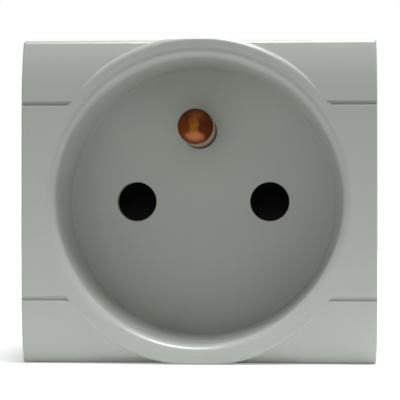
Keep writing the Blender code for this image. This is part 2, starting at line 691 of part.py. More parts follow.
def make_earth_pin(material):
    """The earth pin: domed tip, straight shank, flange behind the retainer, riveted end."""
    tip_y = FLOOR_Y - EARTH_PIN_LENGTH
    dome_radius = (EARTH_PIN_RADIUS**2 + EARTH_PIN_DOME**2) / (2 * EARTH_PIN_DOME)
    reach = math.degrees(math.asin(EARTH_PIN_RADIUS / dome_radius))
    dome = arc((0.0, tip_y + dome_radius), dome_radius, -90, reach - 90, DOME_STEPS)
    flange_back = REAR_Y + EARTH_FLANGE_THICKNESS
    rivet_y = EARTH_BAR_Y + EARTH_BAR_THICKNESS + CLEARANCE
    profile = [(max(radius, 0.0), y) for radius, y in dome]
    profile += [
        (EARTH_PIN_RADIUS, REAR_Y),
        (EARTH_FLANGE_RADIUS, REAR_Y),
        (EARTH_FLANGE_RADIUS, flange_back),
        (EARTH_SPIGOT_RADIUS, flange_back),
        (EARTH_SPIGOT_RADIUS, rivet_y),
        (RIVET_RADIUS, rivet_y),
        (RIVET_RADIUS - RIVET_TAPER, rivet_y + RIVET_THICKNESS),
        (0.0, rivet_y + RIVET_THICKNESS),
    ]
    pin = turned(profile, HOLE_SEGMENTS, EARTH_X, EARTH_Z)
    return finish(pin, "earth_pin", material)


def make_earth_bar(material):
    """The strap from the riveted pin down to the earth terminal."""
    half = EARTH_BAR_WIDTH / 2
    back = EARTH_BAR_Y + EARTH_BAR_THICKNESS
    bar = box(
        (EARTH_X - half, EARTH_BAR_Y, EARTH_BAR_BOTTOM),
        (EARTH_X + half, back, EARTH_BAR_TOP),
    )
    middle_y = (EARTH_BAR_Y + back) / 2
    tail_y = TAIL_Y + EARTH_BAR_THICKNESS / 2
    corners = [
        (middle_y, EARTH_BAR_BOTTOM + OVERLAP),
        (middle_y, EARTH_BEND_Z),
        (tail_y, EARTH_BEND_Z),
        (tail_y, TERMINAL_BOTTOM + CLEARANCE),
    ]
    tail = strip_outline(bent_path(corners, JAW_BEND), EARTH_BAR_THICKNESS)
    join(bar, prism(tail, "X", -TAIL_WIDTH / 2, TAIL_WIDTH / 2))
    hole = cylinder(
        EARTH_SPIGOT_RADIUS + CLEARANCE, EARTH_BAR_Y - OVERLAP, back + OVERLAP, EARTH_X, EARTH_Z
    )
    cut(bar, hole)
    return finish(bar, "earth_bar", material)


def make_line_contact(name, x, material):
    """A strip bent into two jaws for a plug's pin, with a tail to its terminal."""
    leaf = JAW_GAP / 2 + CONTACT_THICKNESS / 2
    base_y = CONTACT_BASE_Y + CONTACT_THICKNESS / 2
    lip_y = REAR_Y + CLEARANCE
    throat_y = lip_y + JAW_LIP
    corners = [
        (-leaf - JAW_FLARE, lip_y),
        (-leaf, throat_y),
        (-leaf, base_y),
        (leaf, base_y),
        (leaf, throat_y),
        (leaf + JAW_FLARE, lip_y),
    ]
    path = bent_path([(x + u, y) for u, y in corners], JAW_BEND)
    half = CONTACT_HEIGHT / 2
    contact = prism(strip_outline(path, CONTACT_THICKNESS), "Z", -half, half)
    tail_y = TAIL_Y + CONTACT_THICKNESS / 2
    tail_corners = [
        (base_y, 0.0),
        (base_y, TAIL_BEND_Z),
        (tail_y, TAIL_BEND_Z),
        (tail_y, TERMINAL_BOTTOM + CLEARANCE),
    ]
    tail = strip_outline(bent_path(tail_corners, JAW_BEND), CONTACT_THICKNESS)
    # The tail is as wide as the flat between the jaws' bends
    flat = min(TAIL_WIDTH, 2 * (leaf - JAW_BEND))
    neck = prism(tail, "X", x - flat / 2, x + flat / 2)
    join(contact, neck)
    return finish(contact, name, material)


def make_contact_clip(name, x, material):
    """A spring steel clip round a contact, which presses its jaws together."""
    leaf = JAW_GAP / 2 + CONTACT_THICKNESS + CLEARANCE + CLIP_THICKNESS / 2
    base_y = CLIP_BASE_Y + CLIP_THICKNESS / 2
    corners = [
        (x - leaf, base_y - CLIP_LEAF),
        (x - leaf, base_y),
        (x + leaf, base_y),
        (x + leaf, base_y - CLIP_LEAF),
    ]
    outline = strip_outline(bent_path(corners, CLIP_BEND), CLIP_THICKNESS)
    clip = prism(outline, "Z", -CLIP_HEIGHT / 2, CLIP_HEIGHT / 2)
    return finish(clip, name, material)


def make_terminal(name, x, material):
    """A pillar terminal: a block with a wire bore along Z and a screw hole from behind."""
    half = TERMINAL_WIDTH / 2
    block = box((x - half, TERMINAL_Y, TERMINAL_BOTTOM), (x + half, TERMINAL_BACK_Y, TERMINAL_TOP))
    bevel_edges(block, TERMINAL_CHAMFER, 1, lambda edge: True)
    bore = box(
        (x - BORE_WIDTH / 2, BORE_Y, TERMINAL_BOTTOM - OVERLAP),
        (x + BORE_WIDTH / 2, BORE_Y + BORE_DEPTH, TERMINAL_TOP + OVERLAP),
    )
    thread = cylinder(
        CLAMP_SCREW_RADIUS + CLEARANCE,
        BORE_Y + BORE_DEPTH / 2,
        TERMINAL_BACK_Y + OVERLAP,
        x,
        TERMINAL_Z,
        SCREW_SEGMENTS,
    )
    cut(block, bore, thread)
    return finish(block, name, material)


def make_clamp_screw(name, x, material):
    """A slotted terminal screw whose tip just enters the wire bore."""
    head_y = TERMINAL_BACK_Y + CLEARANCE
    head_back = head_y + CLAMP_HEAD_THICKNESS
    tip_y = BORE_Y + BORE_DEPTH - CLAMP_TIP
    profile = [
        (0.0, tip_y),
        (CLAMP_SCREW_RADIUS - CLAMP_POINT, tip_y),
        (CLAMP_SCREW_RADIUS, tip_y + CLAMP_POINT),
        (CLAMP_SCREW_RADIUS, head_y),
        (CLAMP_HEAD_RADIUS, head_y),
        (CLAMP_HEAD_RADIUS, head_back - CLAMP_HEAD_CHAMFER),
        (CLAMP_HEAD_RADIUS - CLAMP_HEAD_CHAMFER, head_back),
        (0.0, head_back),
    ]
    screw = turned(profile, SCREW_SEGMENTS, x, TERMINAL_Z)
    half = CLAMP_SLOT_WIDTH / 2
    reach = CLAMP_HEAD_RADIUS + OVERLAP
    slot = box(
        (x - reach, head_back - CLAMP_SLOT_DEPTH, TERMINAL_Z - half),
        (x + reach, head_back + OVERLAP, TERMINAL_Z + half),
    )
    cut(screw, slot)
    return finish(screw, name, material)


def gussets():
    """Triangular ribs between the flange and the sides of the rear block."""
    side_x = REAR_BLOCK_WIDTH / 2
    ribs = []
    for side in (-1, 1):
        outline = [
            (side * (side_x - OVERLAP), FLANGE_BACK_Y - OVERLAP),
            (side * (side_x + GUSSET_REACH), FLANGE_BACK_Y - OVERLAP),
            (side * (side_x + GUSSET_REACH), FLANGE_BACK_Y),
            (side * side_x, FLANGE_BACK_Y + GUSSET_DEPTH),
            (side * (side_x - OVERLAP), FLANGE_BACK_Y + GUSSET_DEPTH),
        ]
        for height in (-GUSSET_Z, GUSSET_Z):
            low = height - GUSSET_THICKNESS / 2
            ribs.append(prism(outline, "Z", low, low + GUSSET_THICKNESS))
    return ribs


def line_pocket_cutters(x):
    """The chamber of a contact with its clip, and the channel of its tail."""
    front = REAR_Y - OVERLAP
    half_height = CONTACT_HEIGHT / 2 + CLEARANCE
    chamber = box(
        (x - CHAMBER_HALF_WIDTH, front, -half_height),
        (x + CHAMBER_HALF_WIDTH, CHAMBER_END_Y, half_height),
    )
    channel_half = RETAINER_RIB_WIDTH / 2 + CLEARANCE
    channel = box(
        (x - channel_half, front, TERMINAL_TOP - OVERLAP),
        (x + channel_half, CONTACT_BASE_Y + CONTACT_THICKNESS + CLEARANCE, -half_height + OVERLAP),
    )
    return [chamber, channel]


def terminal_pocket_cutters(x):
    """A terminal's pocket, the hole to reach its screw and the entry for its wires."""
    front = REAR_Y - OVERLAP
    half = TERMINAL_WIDTH / 2 + CLEARANCE
    pocket = box(
        (x - half, front, TERMINAL_BOTTOM - CLEARANCE),
        (x + half, TERMINAL_BACK_Y + CLEARANCE, TERMINAL_TOP + CLEARANCE),
    )
    access = cylinder(ACCESS_RADIUS, TERMINAL_BACK_Y, REAR_BACK_Y + OVERLAP, x, TERMINAL_Z, SCREW_SEGMENTS)
    entry_y = BORE_Y + BORE_DEPTH / 2
    entry = box(
        (x - WIRE_ENTRY_WIDTH / 2, entry_y - WIRE_ENTRY_DEPTH / 2, -REAR_BLOCK_HEIGHT / 2 - OVERLAP),
        (x + WIRE_ENTRY_WIDTH / 2, entry_y + WIRE_ENTRY_DEPTH / 2, TERMINAL_BOTTOM),
    )
    return [pocket, access, entry]


def earth_channel_cutters():
    """The channel of the earth strap, and the pockets of the pin's flange and rivet."""
    front = REAR_Y - OVERLAP
    half = EARTH_BAR_WIDTH / 2 + CLEARANCE
    bar_back = EARTH_BAR_Y + EARTH_BAR_THICKNESS + CLEARANCE
    channel = box(
        (EARTH_X - half, front, TERMINAL_TOP - OVERLAP),
        (EARTH_X + half, bar_back, EARTH_BAR_TOP + CLEARANCE),
    )
    drop_half = TAIL_WIDTH / 2 + CLEARANCE
    drop = box(
        (-drop_half, front, TERMINAL_TOP - OVERLAP),
        (drop_half, TAIL_Y + EARTH_BAR_THICKNESS + CLEARANCE, EARTH_BEND_Z + EARTH_BAR_THICKNESS),
    )
    flange = cylinder(EARTH_FLANGE_RADIUS + CLEARANCE, front, bar_back, EARTH_X, EARTH_Z)
    rivet = cylinder(
        RIVET_RADIUS + CLEARANCE, REAR_Y, bar_back + RIVET_THICKNESS + CLEARANCE, EARTH_X, EARTH_Z
    )
    return [channel, drop, flange, rivet]


def make_rear_housing(material):
    """The rear moulding: a flange against the cover and a block with the live chambers."""
    half_width, half_height = REAR_BLOCK_WIDTH / 2, REAR_BLOCK_HEIGHT / 2
    housing = box(
        (-half_width, FLANGE_BACK_Y - OVERLAP, -half_height),
        (half_width, REAR_BACK_Y, half_height),
    )

    def on_back(edge):
        return all(vert.co.y > REAR_BACK_Y - OVERLAP / 2 for vert in edge.verts)

    bevel_edges(housing, REAR_CHAMFER, 1, on_back)
    flange = box(
        (-BODY_WIDTH / 2, REAR_Y, -BODY_HEIGHT / 2),
        (BODY_WIDTH / 2, FLANGE_BACK_Y, BODY_HEIGHT / 2),
    )
    join(housing, flange, *gussets())
    for x in (-POLE_X, POLE_X):
        cut(housing, *line_pocket_cutters(x))
    for x in (-POLE_X, 0.0, POLE_X):
        cut(housing, *terminal_pocket_cutters(x))
    cut(housing, *earth_channel_cutters())
    for x, z in CORNERS:
        hole = cylinder(
            SCREW_RADIUS + CLEARANCE, REAR_Y - OVERLAP, FLANGE_BACK_Y + OVERLAP, x, z, SCREW_SEGMENTS
        )
        cut(housing, hole)
    return finish(housing, "rear_housing", material)


def make_housing_screw(name, x, z, material):
    """A pan-head screw with a cross recess, through the flange into the cover's boss."""
    head_y = FLANGE_BACK_Y + CLEARANCE
    head_back = head_y + SCREW_HEAD_THICKNESS
    tip_y = head_y - SCREW_LENGTH
    side = SCREW_HEAD_RADIUS - SCREW_HEAD_FLAT
    crown = [
        (SCREW_HEAD_FLAT + side * across, head_back - SCREW_HEAD_CROWN * (1 - up))
        for across, up in arc((0.0, 0.0), 1.0, 0, 90, ROUND_STEPS)
    ]
    profile = [
        (0.0, tip_y),
        (SCREW_RADIUS, tip_y + SCREW_RADIUS),
        (SCREW_RADIUS, head_y),
        (SCREW_HEAD_RADIUS, head_y),
        *crown,
        (0.0, head_back),
    ]
    screw = turned(profile, SCREW_SEGMENTS, x, z)
    for wide, tall in ((CROSS_SPAN, CROSS_WIDTH), (CROSS_WIDTH, CROSS_SPAN)):
        arm = box(
            (x - wide / 2, head_back - CROSS_DEPTH, z - tall / 2),
            (x + wide / 2, head_back + OVERLAP, z + tall / 2),
        )
        cut(screw, arm)
    return finish(screw, name, material)


def build_socket():
    """Make every piece of the socket."""
    clear_scene()
    cover_plastic = make_material("cover_plastic", (0.33, 0.33, 0.31), 0.45)
    shutter_plastic = make_material("shutter_plastic", (0.01, 0.01, 0.01), 0.55)
    inner_plastic = make_material("inner_plastic", (0.62, 0.61, 0.57), 0.5)
    housing_plastic = make_material("housing_plastic", (0.07, 0.07, 0.075), 0.5)
    pin_brass = make_material("pin_brass", (0.62, 0.27, 0.12), 0.25, 1.0)
    contact_brass = make_material("contact_brass", (0.78, 0.56, 0.25), 0.3, 1.0)
    spring_steel = make_material("spring_steel", (0.5, 0.5, 0.52), 0.3, 1.0)
    plated_steel = make_material("plated_steel", (0.66, 0.66, 0.64), 0.3, 1.0)

    make_front_cover(cover_plastic)
    make_shutter(shutter_plastic)
    make_shutter_spring(spring_steel)
    make_shutter_retainer(inner_plastic)
    make_earth_pin(pin_brass)
    make_earth_bar(contact_brass)
    for pole, x in (("neutral", -POLE_X), ("live", POLE_X)):
        make_line_contact(f"{pole}_contact", x, contact_brass)
        make_contact_clip(f"{pole}_contact_clip", x, spring_steel)
    for pole, x in (("neutral", -POLE_X), ("earth", 0.0), ("live", POLE_X)):
        make_terminal(f"{pole}_terminal", x, contact_brass)
        make_clamp_screw(f"{pole}_terminal_screw", x, plated_steel)
    make_rear_housing(housing_plastic)
    for x, z in CORNERS:
        corner = f"{'upper' if z > 0 else 'lower'}_{'right' if x > 0 else 'left'}"
        make_housing_screw(f"housing_screw_{corner}", x, z, plated_steel)


build_socket()
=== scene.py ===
"""Dresses a French wall socket module: front moulding, shutter, contacts and rear housing.

Lengths are in metres. +X is to the right, +Z is up and the face looks along -Y. The origin
is on the axis of the round well, in the plane of the shoulder behind the face. Every piece
replaces the node of the same name and rides on that node's body.
"""

import logging
import math
from dataclasses import dataclass
from enum import Enum
from typing import Callable, Iterable, Sequence

import bmesh
import bpy
from mathutils import Matrix, Vector


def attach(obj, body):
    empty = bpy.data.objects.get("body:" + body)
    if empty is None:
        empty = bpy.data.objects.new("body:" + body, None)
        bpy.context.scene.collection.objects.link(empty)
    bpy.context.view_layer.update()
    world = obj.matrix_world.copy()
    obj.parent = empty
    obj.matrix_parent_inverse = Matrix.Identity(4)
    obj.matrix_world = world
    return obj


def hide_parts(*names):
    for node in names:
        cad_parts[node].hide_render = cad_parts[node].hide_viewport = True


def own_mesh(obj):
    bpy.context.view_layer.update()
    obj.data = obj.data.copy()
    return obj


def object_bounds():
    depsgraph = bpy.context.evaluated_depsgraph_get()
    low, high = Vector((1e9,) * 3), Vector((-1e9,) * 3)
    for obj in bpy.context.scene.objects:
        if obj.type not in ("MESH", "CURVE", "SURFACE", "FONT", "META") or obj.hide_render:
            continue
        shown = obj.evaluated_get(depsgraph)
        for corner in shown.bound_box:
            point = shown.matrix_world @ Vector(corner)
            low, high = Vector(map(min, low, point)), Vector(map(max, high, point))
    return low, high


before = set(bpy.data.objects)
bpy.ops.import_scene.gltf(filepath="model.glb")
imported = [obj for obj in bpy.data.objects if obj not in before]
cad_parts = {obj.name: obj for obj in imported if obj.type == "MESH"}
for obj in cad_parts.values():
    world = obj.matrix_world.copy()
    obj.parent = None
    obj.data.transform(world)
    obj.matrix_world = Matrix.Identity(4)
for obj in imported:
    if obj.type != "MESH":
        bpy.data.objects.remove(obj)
CAD_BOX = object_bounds()

MM = 0.001
MERGE = 0.0005 * MM
SHARP_ANGLE = math.radians(32.0)
FACING = 0.5  # A face looks along an axis when its normal has more than this on it.
BEND_STEPS = 10
SIDES = (-1, 1)
LOG = logging.getLogger("socket")

Pair = tuple[float, float]
Point = tuple[float, float, float]
Color = tuple[float, float, float]
Key = str | int
Inputs = dict[Key, object]
EdgeTest = Callable[[bmesh.types.BMEdge], bool]

MIX_INPUTS = (0, 6, 7)  # The factor and the two colours of a Mix node.
MIX_RESULT = 2
METALLIC = {"Metallic": 1.0}
WELL_MATT = (3.0 * MM, 0.8 * MM)  # How far above its floor the well's wall turns matt.


class Body(Enum):
    """The bodies of the frame."""

    HOUSING = "housing"
    SHUTTER = "shutter"


class Axis(Enum):
    """The axis that an outline is pushed along."""

    X = 0
    Y = 1
    Z = 2


class Boolean(Enum):
    """How two solids are combined."""

    UNION = "UNION"
    DIFFERENCE = "DIFFERENCE"
    INTERSECT = "INTERSECT"


class Pole(Enum):
    """The three poles: where each stands across the module, as a share of half the spacing."""

    NEUTRAL = -1
    EARTH = 0
    LIVE = 1

    @property
    def x(self) -> float:
        """Where the pole stands across the module."""
        return self.value * LAY.pole_spacing / 2

    def node(self, kind: str) -> str:
        """The name of the pole's node of some kind."""
        return f"{self.name.lower()}_{kind}"


LINE_POLES = (Pole.NEUTRAL, Pole.LIVE)


def span(middle: float, half: float) -> Pair:
    """The two ends of a width."""
    return middle - half, middle + half


def both_sides(right: Sequence[Pair], middle: float = 0.0) -> list[Pair]:
    """A symmetric outline: along its right half, counted from the middle, and back along the left."""
    left = [(middle - u, v) for u, v in reversed(right)]
    return [(middle + u, v) for u, v in right] + left


def arc(centre: Pair, radius: float, start: float, end: float, steps: int) -> list[Pair]:
    """Points on an arc between two angles in degrees, one more than it has steps."""
    angles = [math.radians(start + (end - start) * i / steps) for i in range(steps + 1)]
    return [(centre[0] + radius * math.cos(a), centre[1] + radius * math.sin(a)) for a in angles]


def bent_path(corners: Sequence[Pair], radius: float) -> list[Vector]:
    """The line through some corners with a round bend at each inner one.

    Args:
        corners: The line's corners.
        radius: The radius of every bend.

    Returns:
        The points of the line.
    """
    points = [Vector(corner) for corner in corners]
    path = [points[0]]
    for before, corner, after in zip(points, points[1:], points[2:]):
        back, ahead = (before - corner).normalized(), (after - corner).normalized()
        half = back.angle(ahead) / 2
        middle = corner + (back + ahead).normalized() * radius / math.sin(half)
        start = corner + back * radius / math.tan(half) - middle
        turn = math.copysign(math.pi - 2 * half, -back.cross(ahead))
        path += [middle + Matrix.Rotation(turn * i / BEND_STEPS, 2) @ start for i in range(BEND_STEPS + 1)]
    return [*path, points[-1]]


def strip_outline(path: Sequence[Vector], thickness: float) -> list[Pair]:
    """The two sides of a bent strip.

    Args:
        path: The line through the strip's middle.
        thickness: The strip's thickness.

    Returns:
        The outline's points, along one side and back along the other.
    """
    left, right = [], []
    for i, point in enumerate(path):
        into = point - path[i - 1] if i else path[1] - point
        out = path[i + 1] - point if i + 1 < len(path) else into
        along = (into.normalized() + out.normalized()).normalized()
        side = Vector((-along.y, along.x)) * thickness / 2
        left.append(tuple(point + side))
        right.append(tuple(point - side))
    return left + right[::-1]


def linked(name: str, data: bpy.types.ID) -> bpy.types.Object:
    """Put a new object into the scene.

    Args:
        name: Its name.
        data: Its mesh, light or camera.

    Returns:
        The object.
    """
    obj = bpy.data.objects.new(name, data)
    bpy.context.scene.collection.objects.link(obj)
    return obj


def is_sharp(edge: bmesh.types.BMEdge) -> bool:
    """Whether an edge's two faces meet at more than a slight angle."""
    return len(edge.link_faces) == 2 and edge.calc_face_angle(0.0) > SHARP_ANGLE


def behind(depth: float) -> EdgeTest:
    """A test that picks the sharp edges behind some depth."""
    return lambda edge: is_sharp(edge) and all(vert.co.y > depth for vert in edge.verts)


class Solid:
    """A closed solid under construction, which -, | and & combine with another."""

    def __init__(self, bm: bmesh.types.BMesh) -> None:
        """Keep the mesh with its faces pointing out."""
        bmesh.ops.recalc_face_normals(bm, faces=bm.faces)
        self.bm = bm

    @classmethod
    def block(cls, xs: Pair, ys: Pair, zs: Pair) -> "Solid":
        """A box.

        Args:
            xs: Its two ends across.
            ys: Its front and back.
            zs: Its bottom and top.

        Returns:
            The solid.
        """
        bm = bmesh.new()
        bmesh.ops.create_cube(bm, size=1.0)
        low, high = (Vector(corner) for corner in zip(xs, ys, zs))
        bmesh.ops.scale(bm, vec=high - low, verts=bm.verts)
        bmesh.ops.translate(bm, vec=(low + high) / 2, verts=bm.verts)
        return cls(bm)

    @classmethod
    def centred(cls, halves: Pair, ys: Pair) -> "Solid":
        """A box round the well's axis, from half its width and height."""
        return cls.block(span(0.0, halves[0]), ys, span(0.0, halves[1]))

    @classmethod
    def pushed(cls, outline: Sequence[Pair], axis: Axis, ends: Pair) -> "Solid":
        """An outline pushed along an axis.

        Args:
            outline: Its points in the two other axes, in their order.
            axis: The axis to push along.
            ends: Where the solid starts and ends.

        Returns:
            The solid.
        """
        bm = bmesh.new()
        n = axis.value
        face = bm.faces.new([bm.verts.new((*pair[:n], ends[0], *pair[n:])) for pair in outline])
        grown = bmesh.ops.extrude_face_region(bm, geom=[face])["geom"]
        step = Vector()
        step[n] = ends[1] - ends[0]
        moved = [item for item in grown if isinstance(item, bmesh.types.BMVert)]
        bmesh.ops.translate(bm, vec=step, verts=moved)
        return cls(bm)

    @classmethod
    def strip(cls, corners: Sequence[Pair], bend: float, thickness: float, axis: Axis, ends: Pair) -> "Solid":
        """A strip bent round corners, as wide as its ends are apart on the axis."""
        return cls.pushed(strip_outline(bent_path(corners, bend), thickness), axis, ends)

    @classmethod
    def turned(cls, profile: Sequence[Pair], steps: int, x: float = 0.0, z: float = 0.0) -> "Solid":
        """A profile turned round an axis along Y.

        Args:
            profile: Its (radius, y) points, from the axis back to the axis.
            steps: How many facets go round.
            x: Where the axis stands across.
            z: Where the axis stands in height.

        Returns:
            The solid.
        """
        bm = bmesh.new()
        verts = [bm.verts.new((x + radius, y, z)) for radius, y in profile]
        edges = [bm.edges.new(pair) for pair in zip(verts, verts[1:])]
        bmesh.ops.spin(
            bm,
            geom=verts + edges,
            cent=(x, 0.0, z),
            axis=(0.0, 1.0, 0.0),
            angle=math.tau,
            steps=steps,
            use_merge=True,
        )
        bmesh.ops.remove_doubles(bm, verts=bm.verts, dist=MERGE)
        return cls(bm)

    @classmethod
    def bar(cls, radius: float, ys: Pair, x: float = 0.0, z: float = 0.0, steps: int = 64) -> "Solid":
        """A round bar along Y."""
        return cls.turned([(0.0, ys[0]), (radius, ys[0]), (radius, ys[1]), (0.0, ys[1])], steps, x, z)

    @classmethod
    def gathered(cls, solids: Iterable["Solid"]) -> "Solid":
        """Gather solids that don't touch each other.

        Args:
            solids: The solids.

        Returns:
            One solid of all of them.
        """
        bm = bmesh.new()
        for solid in solids:
            mesh = solid.placed("part").data
            bm.from_mesh(mesh)
            bpy.data.meshes.remove(mesh)
        return cls(bm)

    def placed(self, name: str) -> bpy.types.Object:
        """Put the solid into the scene.

        Args:
            name: The name of its object and mesh.

        Returns:
            The object.
        """
        mesh = bpy.data.meshes.new(name)
        self.bm.to_mesh(mesh)
        return linked(name, mesh)

    def _combined(self, other: "Solid", how: Boolean) -> "Solid":
        """Combine this solid with another.

        Args:
            other: The other solid.
            how: Whether it is added, taken away or kept in common.

        Returns:
            A new solid.
        """
        body, tool = self.placed("body"), other.placed("tool")
        modifier = body.modifiers.new("shape", "BOOLEAN")
        modifier.object = tool
        modifier.operation = how.value
        modifier.solver = "EXACT"
        graph = bpy.context.evaluated_depsgraph_get()
        mesh = bpy.data.meshes.new_from_object(body.evaluated_get(graph))
        bm = bmesh.new()
        bm.from_mesh(mesh)
        for old in (body.data, tool.data, mesh):
            bpy.data.meshes.remove(old)
        return Solid(bm)

    def __sub__(self, other: "Solid") -> "Solid":
        """This solid without the other."""
        return self._combined(other, Boolean.DIFFERENCE)

    def __or__(self, other: "Solid") -> "Solid":
        """This solid and the other together."""
        return self._combined(other, Boolean.UNION)

    def __and__(self, other: "Solid") -> "Solid":
        """What this solid and the other share."""
        return self._combined(other, Boolean.INTERSECT)

    def rounded(self, width: float, chosen: EdgeTest = is_sharp, segments: int = 2) -> "Solid":
        """Round some of the edges.

        Args:
            width: How wide the rounding is.
            chosen: The test that picks the edges.
            segments: How many facets the rounding has.

        Returns:
            This solid.
        """
        self.bm.normal_update()
        bmesh.ops.bevel(
            self.bm,
            geom=[edge for edge in self.bm.edges if chosen(edge)],
            offset=width,
            segments=segments,
            profile=0.5,
            affect="EDGES",
            clamp_overlap=True,
            material=-1,
        )
        return self

    def piece(self, name: str, finish: "Finish", body: Body = Body.HOUSING) -> bpy.types.Object:
        """Make the finished piece that stands for the node of the same name.

        Args:
            name: The node's name.
            finish: The finish of all of the piece.
            body: The body that it rides on.

        Returns:
            The piece's object.
        """
        bmesh.ops.remove_doubles(self.bm, verts=self.bm.verts, dist=MERGE)
        bmesh.ops.dissolve_degenerate(self.bm, edges=self.bm.edges, dist=MERGE)
        obj = self.placed(f"{name}_looks")
        self.bm.free()
        obj.data.materials.append(finish.material())
        obj.data.shade_smooth()
        obj.data.set_sharp_from_angle(angle=SHARP_ANGLE)
        normals = obj.modifiers.new("even_normals", "WEIGHTED_NORMAL")
        normals.keep_sharp = True
        normals.weight = 100
        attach(obj, body.value)
        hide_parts(name)
        LOG.info("%s rides on %s", obj.name, body.value)
        return obj


class Wire:
    """A shader socket that overloads the operators of arithmetic."""

    def __init__(self, graph: "Graph", socket: bpy.types.NodeSocket) -> None:
        """Keep the socket with the graph that it belongs to."""
        self.graph = graph
        self.socket = socket

    def _math(self, operation: str, first: "Value", second: "Value") -> "Wire":
        """One Math node on two values."""
        return self.graph.add("Math", {0: first, 1: second}, operation=operation)

    def __add__(self, other: "Value") -> "Wire":
        """The sum."""
        return self._math("ADD", self, other)

    def __sub__(self, other: "Value") -> "Wire":
        """The difference."""
        return self._math("SUBTRACT", self, other)

    def __rsub__(self, other: "Value") -> "Wire":
        """The difference, from the right."""
        return self._math("SUBTRACT", other, self)

    def __mul__(self, other: "Value") -> "Wire":
        """The product."""
        return self._math("MULTIPLY", self, other)

    __radd__ = __add__
    __rmul__ = __mul__

    def clamped(self) -> "Wire":
        """The value held between 0 and 1."""
        return self.graph.add("Clamp", {"Value": self})

    def above(self, edge: Pair) -> "Wire":
        """0 below the edge, 1 above it and smooth inside it."""
        values = {"Value": self, "From Min": edge[0], "From Max": edge[1]}
        return self.graph.add("MapRange", values, interpolation_type="SMOOTHSTEP")

    def below(self, edge: Pair) -> "Wire":
        """1 below the edge, 0 above it and smooth inside it."""
        return 1.0 - self.above(edge)


Value = Wire | float


class Graph:
    """The node tree of one material, round its Principled BSDF."""

    def __init__(self, name: str) -> None:
        """Start a material with its shader.

        Args:
            name: The material's name.
        """
        self.material = bpy.data.materials.new(name)
        self.material.use_nodes = True
        self.tree = self.material.node_tree
        self.shader = self.tree.nodes["Principled BSDF"]
        self.place = self.add("TexCoord", {}, "Object")

    def add(self, kind: str, values: Inputs, output: Key = 0, **settings: object) -> Wire:
        """Add a node.

        Args:
            kind: The node's type, without its ShaderNode.
            values: The links or values of its inputs, by name or number.
            output: The output to hand back.
            **settings: Its own properties, set before its inputs.

        Returns:
            That output.
        """
        node = self.tree.nodes.new(f"ShaderNode{kind}")
        for key, value in settings.items():
            setattr(node, key, value)
        self.feed(node, values)
        return Wire(self, node.outputs[output])

    def feed(self, node: bpy.types.Node, values: Inputs) -> None:
        """Link or set some of a node's inputs.

        Args:
            node: The node.
            values: The links or values, by the inputs' names or numbers.
        """
        for key, value in values.items():
            if isinstance(value, Wire):
                self.tree.links.new(value.socket, node.inputs[key])
            else:
                node.inputs[key].default_value = value

    def surface(self, color: Wire, rough: Wire, normal: Wire, others: Inputs) -> None:
        """Feed the shader."""
        main = {"Base Color": color, "Roughness": rough.clamped(), "Normal": normal}
        self.feed(self.shader, {**main, **others})

    def noise(self, size: float, detail: float = 2.0, stretch: Point = (1.0, 1.0, 1.0)) -> Wire:
        """Noise from 0 to 1.

        Args:
            size: The size of its blobs, in metres.
            detail: How many finer layers it has.
            stretch: How many times longer the blobs are along each axis.

        Returns:
            The noise's value.
        """
        scale = tuple(1.0 / (size * factor) for factor in stretch)
        place = self.add("Mapping", {"Vector": self.place, "Scale": scale}, vector_type="POINT")
        return self.add("TexNoise", {"Vector": place, "Scale": 1.0, "Detail": detail})

    def mix(self, factor: Value, first: Wire | Color, second: Wire | Color) -> Wire:
        """Mix two colours.

        Args:
            factor: 0 for the first colour and 1 for the second.
            first: The first colour.
            second: The second colour.

        Returns:
            The mixed colour.
        """
        colors = [side if isinstance(side, Wire) else (*side, 1.0) for side in (first, second)]
        values = dict(zip(MIX_INPUTS, (factor, *colors)))
        return self.add("Mix", values, MIX_RESULT, data_type="RGBA")

    def axis_distance(self, x: float, z: float) -> Wire:
        """How far a point is from an axis along Y, in metres."""
        flat = {"Vector": self.place, "Location": (-x, 0.0, -z), "Scale": (1.0, 0.0, 1.0)}
        return self.add("VectorMath", {0: self.add("Mapping", flat)}, "Value", operation="LENGTH")

    def along(self, axis: Axis) -> Wire:
        """A point's place on one axis, in metres."""
        return self.add("SeparateXYZ", {"Vector": self.place}, axis.value)

    def bump(self, height: Wire, depth: float) -> Wire:
        """The normal of a relief from 0 to 1 that is some metres deep."""
        return self.add("Bump", {"Height": height, "Distance": depth, "Strength": 1.0})


@dataclass(frozen=True)
class Finish:
    """A finish, and the slot of the record that it belongs to."""

    slot: str
    color: Color
    roughness: float

    def toned(self, factor: float) -> Color:
        """The finish's colour, lighter or darker."""
        return tuple(min(1.0, channel * factor) for channel in self.color)

    def material(self) -> bpy.types.Material:
        """Make the finish's material once.

        Returns:
            The material, made now or before.
        """
        name = f"{self.slot}_finish"
        made = bpy.data.materials.get(name)
        if made is None:
            graph = Graph(name)
            made = graph.material
            made.diffuse_color = (*self.color, 1.0)
            self.dress(graph)
        return made

    def dress(self, graph: Graph) -> None:
        """Build the finish's nodes."""
        raise NotImplementedError


